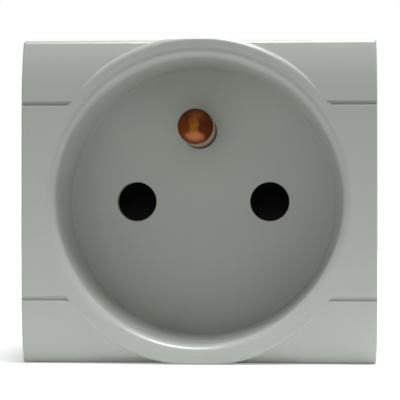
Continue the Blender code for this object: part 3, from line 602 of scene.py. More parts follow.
@dataclass(frozen=True)
class MouldedPlastic(Finish):
    """Plastic from a fine spark-eroded mould, slightly cloudy, with rubbed places."""

    grain: float = 0.09 * MM
    grain_depth: float = 0.0012 * MM
    cloud: float = 0.03
    cloud_size: float = 6.0 * MM
    gloss_change: float = 0.04
    gloss_size: float = 1.6 * MM
    specular: float = 0.5
    rubbed: tuple[Pair, ...] = ()
    rub_edge: Pair = (2.86 * MM, 5.2 * MM)
    scratch_size: float = 0.35 * MM
    scratch_stretch: Point = (9.0, 9.0, 1.0)
    scratch_edge: Pair = (0.60, 0.70)
    patch_size: float = 2.2 * MM
    patch_edge: Pair = (0.45, 0.60)
    scratch_share: float = 0.35
    scratch_tone: float = 1.25
    scratch_matt: float = 0.12
    matt: Pair | None = None
    matt_rise: float = 0.16

    def dress(self, graph: Graph) -> None:
        """Clouds in the colour, a fine grain, and scratches round the places that plugs rub.

        Args:
            graph: The material's nodes.
        """
        clouds = graph.noise(self.cloud_size)
        color = graph.mix(clouds, self.toned(1.0 - self.cloud), self.toned(1.0 + self.cloud))
        rough = graph.noise(self.gloss_size) * self.gloss_change + (self.roughness - self.gloss_change / 2)
        if self.matt:
            rough = rough + graph.along(Axis.Y).above(self.matt) * self.matt_rise
        if self.rubbed:
            scratch = self._scratches(graph)
            color = graph.mix(scratch * self.scratch_share, color, self.toned(self.scratch_tone))
            rough = rough + scratch * self.scratch_matt
        normal = graph.bump(graph.noise(self.grain), self.grain_depth)
        graph.surface(color, rough, normal, {"Specular IOR Level": self.specular})

    def _scratches(self, graph: Graph) -> Wire:
        """Short thin scratches, only near the rubbed places.

        Args:
            graph: The material's nodes.

        Returns:
            1 on a scratch and 0 beside it.
        """
        near = sum(graph.axis_distance(x, z).below(self.rub_edge) for x, z in self.rubbed)
        lines = graph.noise(self.scratch_size, stretch=self.scratch_stretch).above(self.scratch_edge)
        return (near * lines * graph.noise(self.patch_size).above(self.patch_edge)).clamped()


@dataclass(frozen=True)
class Metal(Finish):
    """Bare or plated metal: cloudy tarnish and the fine lines of its making."""

    tarnish: Color
    tarnish_share: float = 0.35
    blob_size: float = 1.8 * MM
    blob_detail: float = 5.0
    blob_edge: Pair = (0.42, 0.72)
    blob_matt: float = 0.16
    line_size: float = 0.12 * MM
    line_detail: float = 3.0
    line_matt: float = 0.08
    line_depth: float = 0.001 * MM

    def dress(self, graph: Graph) -> None:
        """Tarnish in the colour and roughness, and fine lines in the relief.

        Args:
            graph: The material's nodes.
        """
        blobs = graph.noise(self.blob_size, self.blob_detail).above(self.blob_edge)
        lines = graph.noise(self.line_size, self.line_detail)
        color = graph.mix(blobs * self.tarnish_share, self.color, self.tarnish)
        rough = blobs * self.blob_matt + lines * self.line_matt + (self.roughness - self.line_matt / 2)
        graph.surface(color, rough, graph.bump(lines, self.line_depth), METALLIC)


@dataclass(frozen=True)
class HandledPin(Finish):
    """A turned pin along Y: tarnish and painted shade on its tip, with a painted sheen, painted reflections
    and a polished shank, and painted shadow at its foot.

    The edges of the zones on its tip are in shares of its radius, and in squares of such
    shares where they say off.
    """

    axis: Pair
    radius: float = 2.4 * MM
    tip_edge: Pair = (-7.2 * MM, -6.8 * MM)
    foot_shadow_edge: Pair = (-0.5 * MM, 1.5 * MM)
    # Tarnish and painted shade: the dark colour over the tip stands in for the well's shade and keeps the key
    # light's highlight off it.
    tarnish_and_shade: Color = (0.15, 0.042, 0.014)
    # Painted reflection: a golden streak down the middle of the tip.
    golden_reflection: Color = (0.48, 0.17, 0.03)
    # Painted reflection: the copper-pink crescent low on the tip stands for the bright lower mouth reflected
    # in it.
    rubbed: Color = (0.38, 0.122, 0.06)
    shank: Color = (0.75, 0.40, 0.25)
    # Painted shadow: the dark ring at the pin's foot, where it meets the well's floor.
    foot: Color = (0.16, 0.10, 0.06)
    # Painted sheen: the tip's left and lower part is mixed toward the lighter copper colour.
    sheen_left_share: float = 0.6
    sheen_left_edges: tuple[Pair, Pair] = ((-0.7, 0.1), (0.1, 0.8))
    streak_x: float = -0.05
    streak_off: Pair = (0.01, 0.12)
    streak_top: Pair = (0.05, 0.55)
    streak_polish: float = 0.7
    reflection_low_off: Pair = (0.12, 0.48)
    reflection_low_top: Pair = (-0.62, -0.26)
    ragged: float = 0.44
    ragged_size: float = 0.8 * MM
    ragged_detail: float = 5.0
    ragged_across: float = 0.6
    aged_roughness: float = 0.62
    ring: float = 0.11 * MM
    ring_waver: float = 2.0
    ring_matt: float = 0.04
    ring_depth: float = 0.001 * MM

    def dress(self, graph: Graph) -> None:
        """Ragged zones of colour and gloss, most of the colour painted shade, sheen, reflections and shadow,
        and the cutter's rings round the axis.

        Args:
            graph: The material's nodes.
        """
        depth = graph.along(Axis.Y)
        ragged = graph.noise(self.ragged_size, self.ragged_detail) * self.ragged - self.ragged / 2
        side = (graph.along(Axis.X) - self.axis[0]) * (1.0 / self.radius) + ragged * self.ragged_across
        height = (graph.along(Axis.Z) - self.axis[1]) * (1.0 / self.radius) + ragged
        off = (side - self.streak_x) * (side - self.streak_x)
        on_tip = depth.below(self.tip_edge)
        # Painted shadow round the pin's foot, by the well's floor.
        foot = (depth + ragged * MM).above(self.foot_shadow_edge)
        worn = (1.0 - on_tip) * (1.0 - foot)
        # Painted sheen on the tip's left and lower part.
        left = side.below(self.sheen_left_edges[0]) * height.below(self.sheen_left_edges[1]) * on_tip
        # Painted reflection: the golden streak down the middle of the tip.
        reflection_streak = off.below(self.streak_off) * height.below(self.streak_top) * on_tip
        # Painted reflection of the bright lower mouth, low on the tip.
        low = off.below(self.reflection_low_off) * height.below(self.reflection_low_top) * on_tip
        color = graph.mix(left * self.sheen_left_share, self.tarnish_and_shade, self.color)
        for zone, shade in ((reflection_streak, self.golden_reflection), (low, self.rubbed), (worn, self.shank), (foot, self.foot)):
            color = graph.mix(zone, color, shade)
        polish = (reflection_streak * self.streak_polish + low + worn).clamped()
        travel = (graph.axis_distance(*self.axis) + depth) * (math.tau / self.ring)
        travel = travel + graph.noise(self.ragged_size) * self.ring_waver
        rings = graph.add("Math", {0: travel}, operation="SINE") * 0.5 + 0.5
        rough = polish * (self.roughness - self.aged_roughness) + self.aged_roughness + rings * self.ring_matt
        graph.surface(color, rough, graph.bump(rings, self.ring_depth), METALLIC)


@dataclass(frozen=True)
class Layout:
    """Sizes and planes that several sub-assemblies share; what ends in _y is a depth.

    The pairs are half sizes for the body and its cavity, the place of the earth pin, the radius
    and thickness of its flange, its rivet and a terminal screw's head, the width and depth of a
    wire bore, and the housing screws' insets from the side and the top.
    """

    gap: float = 0.3 * MM
    overlap: float = 1.0 * MM
    face_proud: float = 9.5 * MM
    body: Pair = (22.3 * MM, 20.7 * MM)
    body_wall: float = 1.5 * MM
    well_depth: float = 15.0 * MM
    floor_thickness: float = 2.0 * MM
    pole_spacing: float = 19.0 * MM
    plug_pin_length: float = 19.0 * MM
    pin_hole_radius: float = 2.7 * MM
    shutter_thickness: float = 4.5 * MM
    shutter_travel: float = 5.6 * MM
    shutter_half_width: float = 14.0 * MM
    shutter_bottom: float = -6.0 * MM
    shutter_top: float = 10.2 * MM
    ramp_half_width: float = 3.0 * MM
    spring_seat: float = -17.5 * MM
    retainer_thickness: float = 1.2 * MM
    rib_width: float = 4.4 * MM
    earth: Pair = (-0.5 * MM, 10.0 * MM)
    earth_radius: float = 2.4 * MM
    earth_hole: float = earth_radius + 0.06 * MM
    earth_flange: Pair = (3.3 * MM, 1.0 * MM)
    rivet: Pair = (2.4 * MM, 0.8 * MM)
    strap_thickness: float = 1.0 * MM
    strap_width: float = 6.4 * MM
    strap_top: float = 14.0 * MM
    strap_rise: float = 0.8 * MM
    contact_thickness: float = 0.8 * MM
    contact_height: float = 7.0 * MM
    clip_thickness: float = 0.5 * MM
    pin_end_room: float = 0.5 * MM
    tail_width: float = 4.4 * MM
    bend: float = 1.2 * MM
    terminal_width: float = 7.4 * MM
    terminal_depth: float = 6.8 * MM
    terminal_height: float = 7.6 * MM
    terminal_inset: float = 2.9 * MM
    bore: Pair = (5.0 * MM, 3.6 * MM)
    bore_front_wall: float = 1.2 * MM
    clamp_head: Pair = (2.8 * MM, 2.0 * MM)
    flange_thickness: float = 2.2 * MM
    rear_wall: float = 2.1 * MM
    screw_radius: float = 1.2 * MM
    screw_length: float = 12.0 * MM
    screw_inset: Pair = (3.9 * MM, 4.1 * MM)

    # What follows from them. A contact's base starts just past the end of a plug's pin.
    face_y: float = -face_proud
    floor_y: float = face_y + well_depth
    floor_middle_y: float = floor_y + floor_thickness / 2
    floor_back_y: float = floor_y + floor_thickness
    shutter_y: float = floor_back_y + gap
    shutter_middle_y: float = shutter_y + shutter_thickness / 2
    shutter_back_y: float = shutter_y + shutter_thickness
    retainer_y: float = shutter_back_y + gap
    retainer_back_y: float = retainer_y + retainer_thickness
    rear_y: float = retainer_back_y + gap
    flange_back_y: float = rear_y + flange_thickness
    strap_y: float = rear_y + earth_flange[1] + gap
    strap_room_y: float = strap_y + strap_thickness + gap
    contact_base_y: float = floor_y + plug_pin_length + pin_end_room
    clip_base_y: float = contact_base_y + contact_thickness + gap
    chamber_end_y: float = clip_base_y + clip_thickness + gap
    rear_back_y: float = chamber_end_y + rear_wall
    terminal_y: float = contact_base_y - terminal_depth
    bore_y: float = terminal_y + bore_front_wall
    bore_middle_y: float = bore_y + bore[1] / 2
    tail_y: float = bore_y + gap
    cavity: Pair = (body[0] - body_wall, body[1] - body_wall)
    terminal_bottom: float = terminal_inset - body[1]
    terminal_top: float = terminal_bottom + terminal_height
    terminal_z: float = terminal_bottom + terminal_height / 2

    @property
    def corners(self) -> list[Pair]:
        """Where the four housing screws stand."""
        x, z = (half - inset for half, inset in zip(self.body, self.screw_inset))
        return [(side * x, up * z) for side in SIDES for up in SIDES]


LAY = Layout()


def screw_holes(ys: Pair) -> list[Solid]:
    """Cutters for the four housing screws."""
    return [Solid.bar(LAY.screw_radius + LAY.gap, ys, x, z) for x, z in LAY.corners]


@dataclass
class FrontCover:
    """The visible moulding: face, collar, well and the walls behind the shoulder."""

    finish: Finish
    width: float = 47.0 * MM
    height: float = 43.0 * MM
    wall: float = 2.6 * MM
    edge_round: float = 0.3 * MM
    groove_height: float = 12.9 * MM
    groove_width: float = 0.7 * MM
    groove_depth: float = 0.4 * MM
    groove_floor: Pair = (-0.05 * MM, 0.25 * MM)  # From the groove's middle.
    band_radius: float = 22.0 * MM
    upper_lip: float = 0.9 * MM
    lower_lip: float = 0.35 * MM
    lip_steps: int = 8
    collar_radius: float = 21.9 * MM
    collar_round: float = 0.8 * MM
    collar_trim: float = 0.1 * MM
    collar_root: float = 0.3 * MM
    well_radius: float = 19.0 * MM
    well_taper: float = 0.15 * MM
    well_wall: float = 1.5 * MM
    mouth_round: float = 1.3 * MM
    mouth_sweep: float = 88.0
    floor_round: float = 0.15 * MM
    hole_chamfer: float = 0.06 * MM
    hole_radius: float = 2.8 * MM
    hole_steps: int = 72
    steps: int = 180
    round_steps: int = 10
    band_steps: int = 12
    rail_width: float = 1.2 * MM
    rail_foot: float = -12.0 * MM
    seat_half: float = 3.0 * MM
    boss_radius: float = 2.8 * MM
    frame_grip: float = 2.3 * MM
    catch_x: float = 12.6 * MM
    catch_width: float = 4.0 * MM
    catch_height: float = 0.7 * MM
    catch_land: float = 0.6 * MM
    catch_ramp: float = 3.4 * MM
    tongue_length: float = 9.0 * MM
    slit: float = 0.7 * MM

    def band(self, lip: float) -> list[Pair]:
        """A curved band's section.

        Args:
            lip: The radius of its outer edge.

        Returns:
            The points in depth and height, from the outer edge down to the flat band.
        """
        centre_y = LAY.face_y + self.band_radius
        lip_z = self.height / 2 - lip
        reach = math.asin((lip_z - self.groove_height) / (self.band_radius - lip))
        lip_y = centre_y - (self.band_radius - lip) * math.cos(reach)
        slope = 180 - math.degrees(reach)
        edge = arc((lip_y, lip_z), lip, 90, slope, self.lip_steps)
        return edge + arc((centre_y, self.groove_height), self.band_radius, slope, 180, self.band_steps)[1:]

    def face_block(self) -> Solid:
        """The face's block: a flat band, and bands that fall away to a rounded lip above and below.

        Returns:
            The solid.
        """
        half = self.height / 2
        lower = [(y, -z) for y, z in reversed(self.band(self.lower_lip))]
        outline = [(0.0, half), *self.band(self.upper_lip), *lower, (0.0, -half)]

        def on_rim(edge: bmesh.types.BMEdge) -> bool:
            """Whether an edge is between a side and anything but the back."""
            sides = [abs(face.normal.x) > FACING for face in edge.link_faces]
            return any(sides) != all(sides) and all(face.normal.y <= FACING for face in edge.link_faces)

        block = Solid.pushed(outline, Axis.X, span(0.0, self.width / 2))
        return block.rounded(self.edge_round, on_rim, segments=4)

    def grooves(self) -> Solid:
        """Cutters for the four grooves, whose lower sides slope up to the face.

        Returns:
            The cutters as one solid.
        """
        half, out = self.groove_width / 2, LAY.face_y - LAY.overlap
        floor = [(LAY.face_y + self.groove_depth, z) for z in self.groove_floor]
        section = [(out, -half), (LAY.face_y, -half), *floor, (LAY.face_y, half), (out, half)]
        cutters = []
        for side in SIDES:
            ends = sorted((side * self.collar_radius / 2, side * (self.width / 2 + LAY.overlap)))
            for height in (-self.groove_height, self.groove_height):
                cutters.append(Solid.pushed([(y, height + z) for y, z in section], Axis.X, ends))
        return Solid.gathered(cutters)

    def collar(self) -> Solid:
        """The round collar, level with the flat band, trimmed by the face's height.

        Returns:
            The solid.
        """
        centre = (self.collar_radius - self.collar_round, LAY.face_y + self.collar_round)
        edge = arc(centre, self.collar_round, -90, 0, self.round_steps)
        back = LAY.face_y + self.wall - self.collar_root
        disc = Solid.turned([(0.0, LAY.face_y), *edge, (self.collar_radius, back), (0.0, back)], self.steps)
        halves = (self.width / 2, self.height / 2 - self.collar_trim)
        return disc & Solid.centred(halves, (LAY.face_y - LAY.overlap, back + LAY.overlap))

    def well(self) -> Solid:
        """Cutter for the well: round at the mouth, slightly tapered, round at the floor.

        Returns:
            The cutter.
        """
        floor_centre = (self.well_radius - self.well_taper - self.floor_round, LAY.floor_y - self.floor_round)
        floor_edge = arc(floor_centre, self.floor_round, 90, 0, self.round_steps)
        mouth_centre = (self.well_radius + self.mouth_round, LAY.face_y + self.mouth_round)
        mouth = arc(mouth_centre, self.mouth_round, 180, 180 + self.mouth_sweep, self.round_steps)
        top = LAY.face_y - LAY.overlap
        profile = [(0.0, LAY.floor_y), *floor_edge, *mouth, (mouth[-1][0], top), (0.0, top)]
        return Solid.turned(profile, self.steps)

    def floor_holes(self) -> list[Solid]:
        """Cutters for the chamfered line holes and the earth pin's hole.

        Returns:
            The three cutters.
        """
        cut, radius = self.hole_chamfer, self.hole_radius
        front, back = LAY.floor_y - cut, LAY.floor_back_y + LAY.overlap
        profile = [(0.0, front), (radius + 2 * cut, front), (radius, LAY.floor_y + cut)]
        profile += [(radius, back), (0.0, back)]
        holes = [Solid.turned(profile, self.hole_steps, pole.x) for pole in LINE_POLES]
        return [*holes, Solid.bar(LAY.earth_hole, (LAY.floor_y - LAY.overlap, back), *LAY.earth)]

    def rails(self) -> list[Solid]:
        """Two hooked rails that guide the shutter and stop it at the top.

        Returns:
            The two rails.
        """
        inner, stop = LAY.shutter_half_width + LAY.gap, LAY.shutter_top + LAY.gap
        outer, top = inner + self.rail_width, stop + self.rail_width
        hook, foot = Pole.LIVE.x - LAY.ramp_half_width, self.rail_foot
        outline = [(inner, foot), (outer, foot), (outer, top), (hook, top), (hook, stop), (inner, stop)]
        ends = (LAY.floor_middle_y, LAY.shutter_back_y)
        return [Solid.pushed([(side * x, z) for x, z in outline], Axis.Y, ends) for side in SIDES]

    def catches(self) -> list[Solid]:
        """Four wedges on the top and bottom walls.

        Returns:
            The four wedges.
        """
        crest, root = LAY.body[1] + self.catch_height, LAY.body[1] - LAY.body_wall / 2
        grip, land = self.frame_grip, self.frame_grip + self.catch_land
        outline = [(grip, root), (grip, crest), (land, crest), (land + self.catch_ramp, root)]
        half = (self.catch_width + self.slit) / 2
        wedges = []
        for up in SIDES:
            section = [(y, up * z) for y, z in outline]
            wedges += [Solid.pushed(section, Axis.X, span(side * self.catch_x, half)) for side in SIDES]
        return wedges

    def slits(self) -> list[Solid]:
        """Cutters for the slits that free a springy tongue behind each catch.

        Returns:
            The four cutters.
        """
        inner = self.catch_width / 2
        outer = inner + self.slit
        front = self.frame_grip - 2 * self.slit
        back = front + self.tongue_length
        right = [(outer, front), (outer, back), (inner, back), (inner, front + self.slit)]
        low, high = LAY.cavity[1] - LAY.gap, LAY.body[1] + self.catch_height + LAY.overlap
        slits = []
        for side in SIDES:
            outline = both_sides(right, side * self.catch_x)
            slits += [Solid.pushed(outline, Axis.Z, ends) for ends in ((low, high), (-high, -low))]
        return slits

    def build(self) -> None:
        """Make the cover."""
        root_y = LAY.face_y + self.wall / 2
        tube = Solid.bar(self.well_radius + self.well_wall, (root_y, LAY.floor_back_y), steps=self.steps)
        walls = Solid.centred(LAY.body, (-LAY.overlap, LAY.retainer_back_y))
        cavity = Solid.centred(LAY.cavity, (LAY.face_y + self.wall, LAY.retainer_back_y + LAY.overlap))
        boss_ys = (root_y + self.edge_round, LAY.shutter_back_y)
        bosses = [Solid.bar(self.boss_radius, boss_ys, x, z) for x, z in LAY.corners]
        seat_zs = (-LAY.cavity[1] - LAY.body_wall / 2, LAY.spring_seat)
        seat = Solid.block(span(0.0, self.seat_half), (LAY.floor_middle_y, LAY.shutter_back_y), seat_zs)
        inside = Solid.gathered([*bosses, *self.rails(), seat, *self.catches()])
        pilots = screw_holes((LAY.flange_back_y - LAY.screw_length, LAY.shutter_back_y + LAY.overlap))
        cover = self.face_block() - self.grooves() | walls
        cover = cover - cavity | tube | self.collar() | inside | Shutter.peg(LAY.spring_seat, 1)
        cover = cover - self.well() - Solid.gathered([*self.floor_holes(), *pilots, *self.slits()])
        cover.piece("front_cover", self.finish)


@dataclass
class Shutter:
    """The sprung slide that covers both line holes, its spring and the plate behind."""

    slide_finish: Finish
    spring_finish: Finish
    plate_finish: Finish
    notch: Pair = (4.6 * MM, 4.0 * MM)  # Half its width, and where its floor is.
    ramp_lead: float = 0.2 * MM
    ramp_break: float = 1.3 * MM
    ramp_break_depth: float = 3.5 * MM
    ramp_lip: float = 0.5 * MM
    edge_round: float = 0.2 * MM
    peg_radius: float = 0.9 * MM
    peg_length: float = 2.0 * MM
    peg_steps: int = 32
    spring_radius: float = 1.6 * MM
    wire: float = 0.4 * MM
    turns: int = 7
    turn_steps: int = 32
    wire_sides: int = 10
    end_pitch: float = 0.52 * MM
    rib_drop: float = 0.9 * MM

    @classmethod
    def peg(cls, seat: float, up: int) -> Solid:
        """A peg for an end of the spring, rooted below its seat; up is 1, or -1 to point down."""
        outline = arc((0.0, LAY.shutter_middle_y), cls.peg_radius, 0, 360, cls.peg_steps)[:-1]
        return Solid.pushed(outline, Axis.Z, sorted((seat - up * LAY.overlap, seat + up * cls.peg_length)))

    def ramp(self, x: float) -> Solid:
        """Cutter for the space over a ramp and the window above it.

        Args:
            x: Where the ramp's middle is.

        Returns:
            The cutter.
        """
        front, back = LAY.shutter_y - LAY.overlap, LAY.shutter_back_y + LAY.overlap
        foot = -LAY.pin_hole_radius - self.ramp_lead
        top = LAY.shutter_travel - LAY.pin_hole_radius
        window_top = LAY.shutter_travel + LAY.pin_hole_radius + LAY.gap
        slope = (self.ramp_break - foot) / self.ramp_break_depth
        break_y, lip_y = LAY.shutter_y + self.ramp_break_depth, LAY.shutter_back_y - self.ramp_lip
        outline = [(front, foot - LAY.overlap * slope), (break_y, self.ramp_break), (lip_y, top)]
        outline += [(back, top), (back, window_top), (front, window_top)]
        return Solid.pushed(outline, Axis.X, span(x, LAY.ramp_half_width))

    def build_slide(self) -> None:
        """Make the slide."""
        half, top = LAY.shutter_half_width, LAY.shutter_top
        right = [(half, LAY.shutter_bottom), (half, top), (self.notch[0], top), self.notch]
        slide = Solid.pushed(both_sides(right), Axis.Y, (LAY.shutter_y, LAY.shutter_back_y))
        ramps = Solid.gathered(self.ramp(pole.x) for pole in LINE_POLES)
        slide = (slide - ramps).rounded(self.edge_round) | self.peg(LAY.shutter_bottom, -1)
        slide.piece("shutter_slide", self.slide_finish, Body.SHUTTER)

    def build_spring(self) -> None:
        """Make the coil spring, with a close turn at each end."""
        low = LAY.spring_seat + LAY.gap + self.wire / 2
        high = LAY.shutter_bottom - LAY.gap - self.wire / 2
        rise = (high - low - 2 * self.end_pitch) / (self.turns - 2)
        bm = bmesh.new()
        ring = bmesh.ops.create_circle(bm, segments=self.wire_sides, radius=self.wire / 2)["verts"]
        start = Vector((self.spring_radius, LAY.shutter_middle_y, low))
        bmesh.ops.translate(bm, vec=start, verts=ring)
        bmesh.ops.rotate(bm, verts=ring, cent=start, matrix=Matrix.Rotation(math.pi / 2, 3, "X"))
        first = edges = list(bm.edges)
        for turn in range(self.turns):
            pitch = self.end_pitch if turn in (0, self.turns - 1) else rise
            spun = bmesh.ops.spin(
                bm,
                geom=edges,
                cent=(0.0, LAY.shutter_middle_y, 0.0),
                axis=(0.0, 0.0, 1.0),
                dvec=(0.0, 0.0, pitch / self.turn_steps),
                angle=math.tau,
                steps=self.turn_steps,
                use_merge=False,
            )
            edges = [item for item in spun["geom_last"] if isinstance(item, bmesh.types.BMEdge)]
        for rim in (first, edges):
            bmesh.ops.contextual_create(bm, geom=rim)
        spring = Solid(bm).piece("shutter_spring", self.spring_finish)
        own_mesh(spring)

    def build_plate(self) -> None:
        """Make the retainer plate, with the ribs that hold the terminals in place."""
        halves = tuple(half - LAY.gap for half in LAY.cavity)
        plate = Solid.centred(halves, (LAY.retainer_y, LAY.retainer_back_y))
        rib_ys = (LAY.retainer_back_y - LAY.retainer_thickness / 2, LAY.terminal_y - LAY.gap)
        rib_top = -LAY.contact_height / 2 - self.rib_drop
        earth_top = LAY.terminal_top + LAY.strap_rise - LAY.strap_thickness / 2 - LAY.gap
        ribs = []
        for pole in Pole:
            zs = (LAY.terminal_bottom, earth_top if pole is Pole.EARTH else rib_top)
            ribs.append(Solid.block(span(pole.x, LAY.rib_width / 2), rib_ys, zs))
        plate = (plate | Solid.gathered(ribs)).rounded(self.edge_round)
        ys = (LAY.retainer_y - LAY.overlap, LAY.retainer_back_y + LAY.overlap)
        holes = [Solid.bar(LAY.pin_hole_radius, ys, pole.x) for pole in LINE_POLES]
        holes.append(Solid.bar(LAY.earth_hole, ys, *LAY.earth))
        plate = plate - Solid.gathered([*holes, *screw_holes(ys)])
        plate.piece("shutter_retainer", self.plate_finish)

    def build(self) -> None:
        """Make the three pieces."""
        self.build_slide()
        self.build_spring()
        self.build_plate()


@dataclass
class EarthPath:
    """The earth pin and the strap that joins it to its terminal."""

    pin_finish: Finish
    strap_finish: Finish
    pin_length: float = 14.0 * MM
    pin_steps: int = 96
    dome: float = 1.5 * MM
    dome_steps: int = 24
    spigot: float = 1.6 * MM
    rivet_taper: float = 0.5 * MM
    neck: float = 3.4 * MM
    edge_round: float = 0.12 * MM

    def build_pin(self) -> None:
        """Make the pin: domed tip, straight shank, flange and riveted end."""
        curve = (LAY.earth_radius**2 + self.dome**2) / (2 * self.dome)
        reach = math.degrees(math.asin(LAY.earth_radius / curve))
        centre = (0.0, LAY.floor_y - self.pin_length + curve)
        dome = arc(centre, curve, -90, reach - 90, self.dome_steps)
        flange, flange_back = LAY.earth_flange[0], LAY.rear_y + LAY.earth_flange[1]
        rivet, rivet_y = LAY.rivet[0], LAY.strap_room_y
        rivet_back = rivet_y + LAY.rivet[1]
        profile = [(max(radius, 0.0), y) for radius, y in dome]
        profile += [(LAY.earth_radius, LAY.rear_y), (flange, LAY.rear_y), (flange, flange_back)]
        profile += [(self.spigot, flange_back), (self.spigot, rivet_y), (rivet, rivet_y)]
        profile += [(rivet - self.rivet_taper, rivet_back), (0.0, rivet_back)]
        Solid.turned(profile, self.pin_steps, *LAY.earth).piece("earth_pin", self.pin_finish)

    def build_strap(self) -> None:
        """Make the strap: one bent strip, cut to a wide upper part and a narrow tail."""
        middle, tail_y = (y + LAY.strap_thickness / 2 for y in (LAY.strap_y, LAY.tail_y))
        bend_z = LAY.terminal_top + LAY.strap_rise
        foot = LAY.terminal_bottom + LAY.gap
        path = [(middle, LAY.strap_top), (middle, bend_z), (tail_y, bend_z), (tail_y, foot)]
        strip = Solid.strip(path, LAY.bend, LAY.strap_thickness, Axis.X, span(0.0, LAY.strap_width))
        left, right = span(LAY.earth[0], LAY.strap_width / 2)
        narrow = LAY.tail_width / 2
        top, neck, bottom = LAY.strap_top + LAY.overlap, bend_z + self.neck, foot - LAY.overlap
        front = [(left, top), (right, top), (right, neck), (narrow, neck)]
        front += [(narrow, bottom), (-narrow, bottom), (-narrow, neck), (left, neck)]
        ys = (LAY.strap_y - LAY.overlap, tail_y + LAY.strap_thickness + LAY.overlap)
        strap = (strip & Solid.pushed(front, Axis.Y, ys)).rounded(self.edge_round)
        strap = strap - Solid.bar(self.spigot + LAY.gap, ys, *LAY.earth)
        strap.piece("earth_bar", self.strap_finish)

    def build(self) -> None:
        """Make the pin and its strap."""
        self.build_pin()
        self.build_strap()


@dataclass
class LineContact:
    """A sprung contact for one of a plug's pins, and the steel clip round it."""

    pole: Pole
    strip_finish: Finish
    clip_finish: Finish
    jaw_gap: float = 3.9 * MM
    jaw_flare: float = 0.9 * MM
    jaw_lip: float = 2.4 * MM
    tail_rise: float = 1.6 * MM
    clip_height: float = 4.0 * MM
    clip_leaf: float = 8.5 * MM
    clip_bend: float = 1.5 * MM
    edge_round: float = 0.1 * MM

    def build_strip(self) -> None:
        """Make the strip, bent into two jaws, with a tail to its terminal."""
        x, thickness = self.pole.x, LAY.contact_thickness
        leaf = (self.jaw_gap + thickness) / 2
        base_y = LAY.contact_base_y + thickness / 2
        lip_y = LAY.rear_y + LAY.gap
        right = [(leaf + self.jaw_flare, lip_y), (leaf, lip_y + self.jaw_lip), (leaf, base_y)]
        jaw_zs = span(0.0, LAY.contact_height / 2)
        jaws = Solid.strip(both_sides(right, x), LAY.bend, thickness, Axis.Z, jaw_zs)
        bend_z, foot = LAY.terminal_top + self.tail_rise, LAY.terminal_bottom + LAY.gap
        tail_y = LAY.tail_y + thickness / 2
        path = [(base_y, 0.0), (base_y, bend_z), (tail_y, bend_z), (tail_y, foot)]
        flat = min(LAY.tail_width, 2 * (leaf - LAY.bend)) / 2
        tail = Solid.strip(path, LAY.bend, thickness, Axis.X, span(x, flat))
        (jaws | tail).piece(self.pole.node("contact"), self.strip_finish)

    def build_clip(self) -> None:
        """Make the clip that presses the jaws together."""
        leaf = self.jaw_gap / 2 + LAY.contact_thickness + LAY.gap + LAY.clip_thickness / 2
        base_y = LAY.clip_base_y + LAY.clip_thickness / 2
        path = both_sides([(leaf, base_y - self.clip_leaf), (leaf, base_y)], self.pole.x)
        clip = Solid.strip(path, self.clip_bend, LAY.clip_thickness, Axis.Z, span(0.0, self.clip_height / 2))
        clip.rounded(self.edge_round).piece(self.pole.node("contact_clip"), self.clip_finish)

    def build(self) -> None:
        """Make the contact and its clip."""
        self.build_strip()
        self.build_clip()


@dataclass
class Terminal:
    """A pillar terminal with its slotted screw."""

    pole: Pole
    block_finish: Finish
    screw_finish: Finish
    chamfer: float = 0.4 * MM
    screw_radius: float = 1.7 * MM
    screw_steps: int = 64
    edge_round: float = 0.06 * MM
    tip: float = 0.4 * MM
    point: float = 0.5 * MM
    head_round: float = 0.4 * MM
    round_steps: int = 6
    slot_width: float = 0.9 * MM
    slot_depth: float = 0.9 * MM

    def build_block(self) -> None:
        """Make the block, with its wire bore along Z and its screw hole from behind."""
        x, (width, depth) = self.pole.x, LAY.bore
        ys = (LAY.terminal_y, LAY.contact_base_y)
        block = Solid.block(span(x, LAY.terminal_width / 2), ys, (LAY.terminal_bottom, LAY.terminal_top))
        bore_zs = (LAY.terminal_bottom - LAY.overlap, LAY.terminal_top + LAY.overlap)
        bore = Solid.block(span(x, width / 2), (LAY.bore_y, LAY.bore_y + depth), bore_zs)
        thread_ys = (LAY.bore_middle_y, LAY.contact_base_y + LAY.overlap)
        thread = Solid.bar(self.screw_radius + LAY.gap, thread_ys, x, LAY.terminal_z)
        block = block.rounded(self.chamfer, segments=3) - bore - thread
        block.piece(self.pole.node("terminal"), self.block_finish)

    def build_screw(self) -> None:
        """Make the slotted screw, whose tip just enters the bore."""
        x, radius, (head, thickness) = self.pole.x, self.screw_radius, LAY.clamp_head
        head_y = LAY.contact_base_y + LAY.gap
        back = head_y + thickness
        tip_y = LAY.bore_y + LAY.bore[1] - self.tip
        edge = arc((head - self.head_round, back - self.head_round), self.head_round, 0, 90, self.round_steps)
        profile = [(0.0, tip_y), (radius - self.point, tip_y), (radius, tip_y + self.point)]
        profile += [(radius, head_y), (head, head_y), *edge, (0.0, back)]
        screw = Solid.turned(profile, self.screw_steps, x, LAY.terminal_z)
        slot_ys = (back - self.slot_depth, back + LAY.overlap)
        slot = Solid.block(span(x, head + LAY.overlap), slot_ys, span(LAY.terminal_z, self.slot_width / 2))
        screw = (screw - slot).rounded(self.edge_round, behind(back - self.slot_depth / 2))
        screw.piece(self.pole.node("terminal_screw"), self.screw_finish)

    def build(self) -> None:
        """Make the block and its screw."""
        self.build_block()
        self.build_screw()


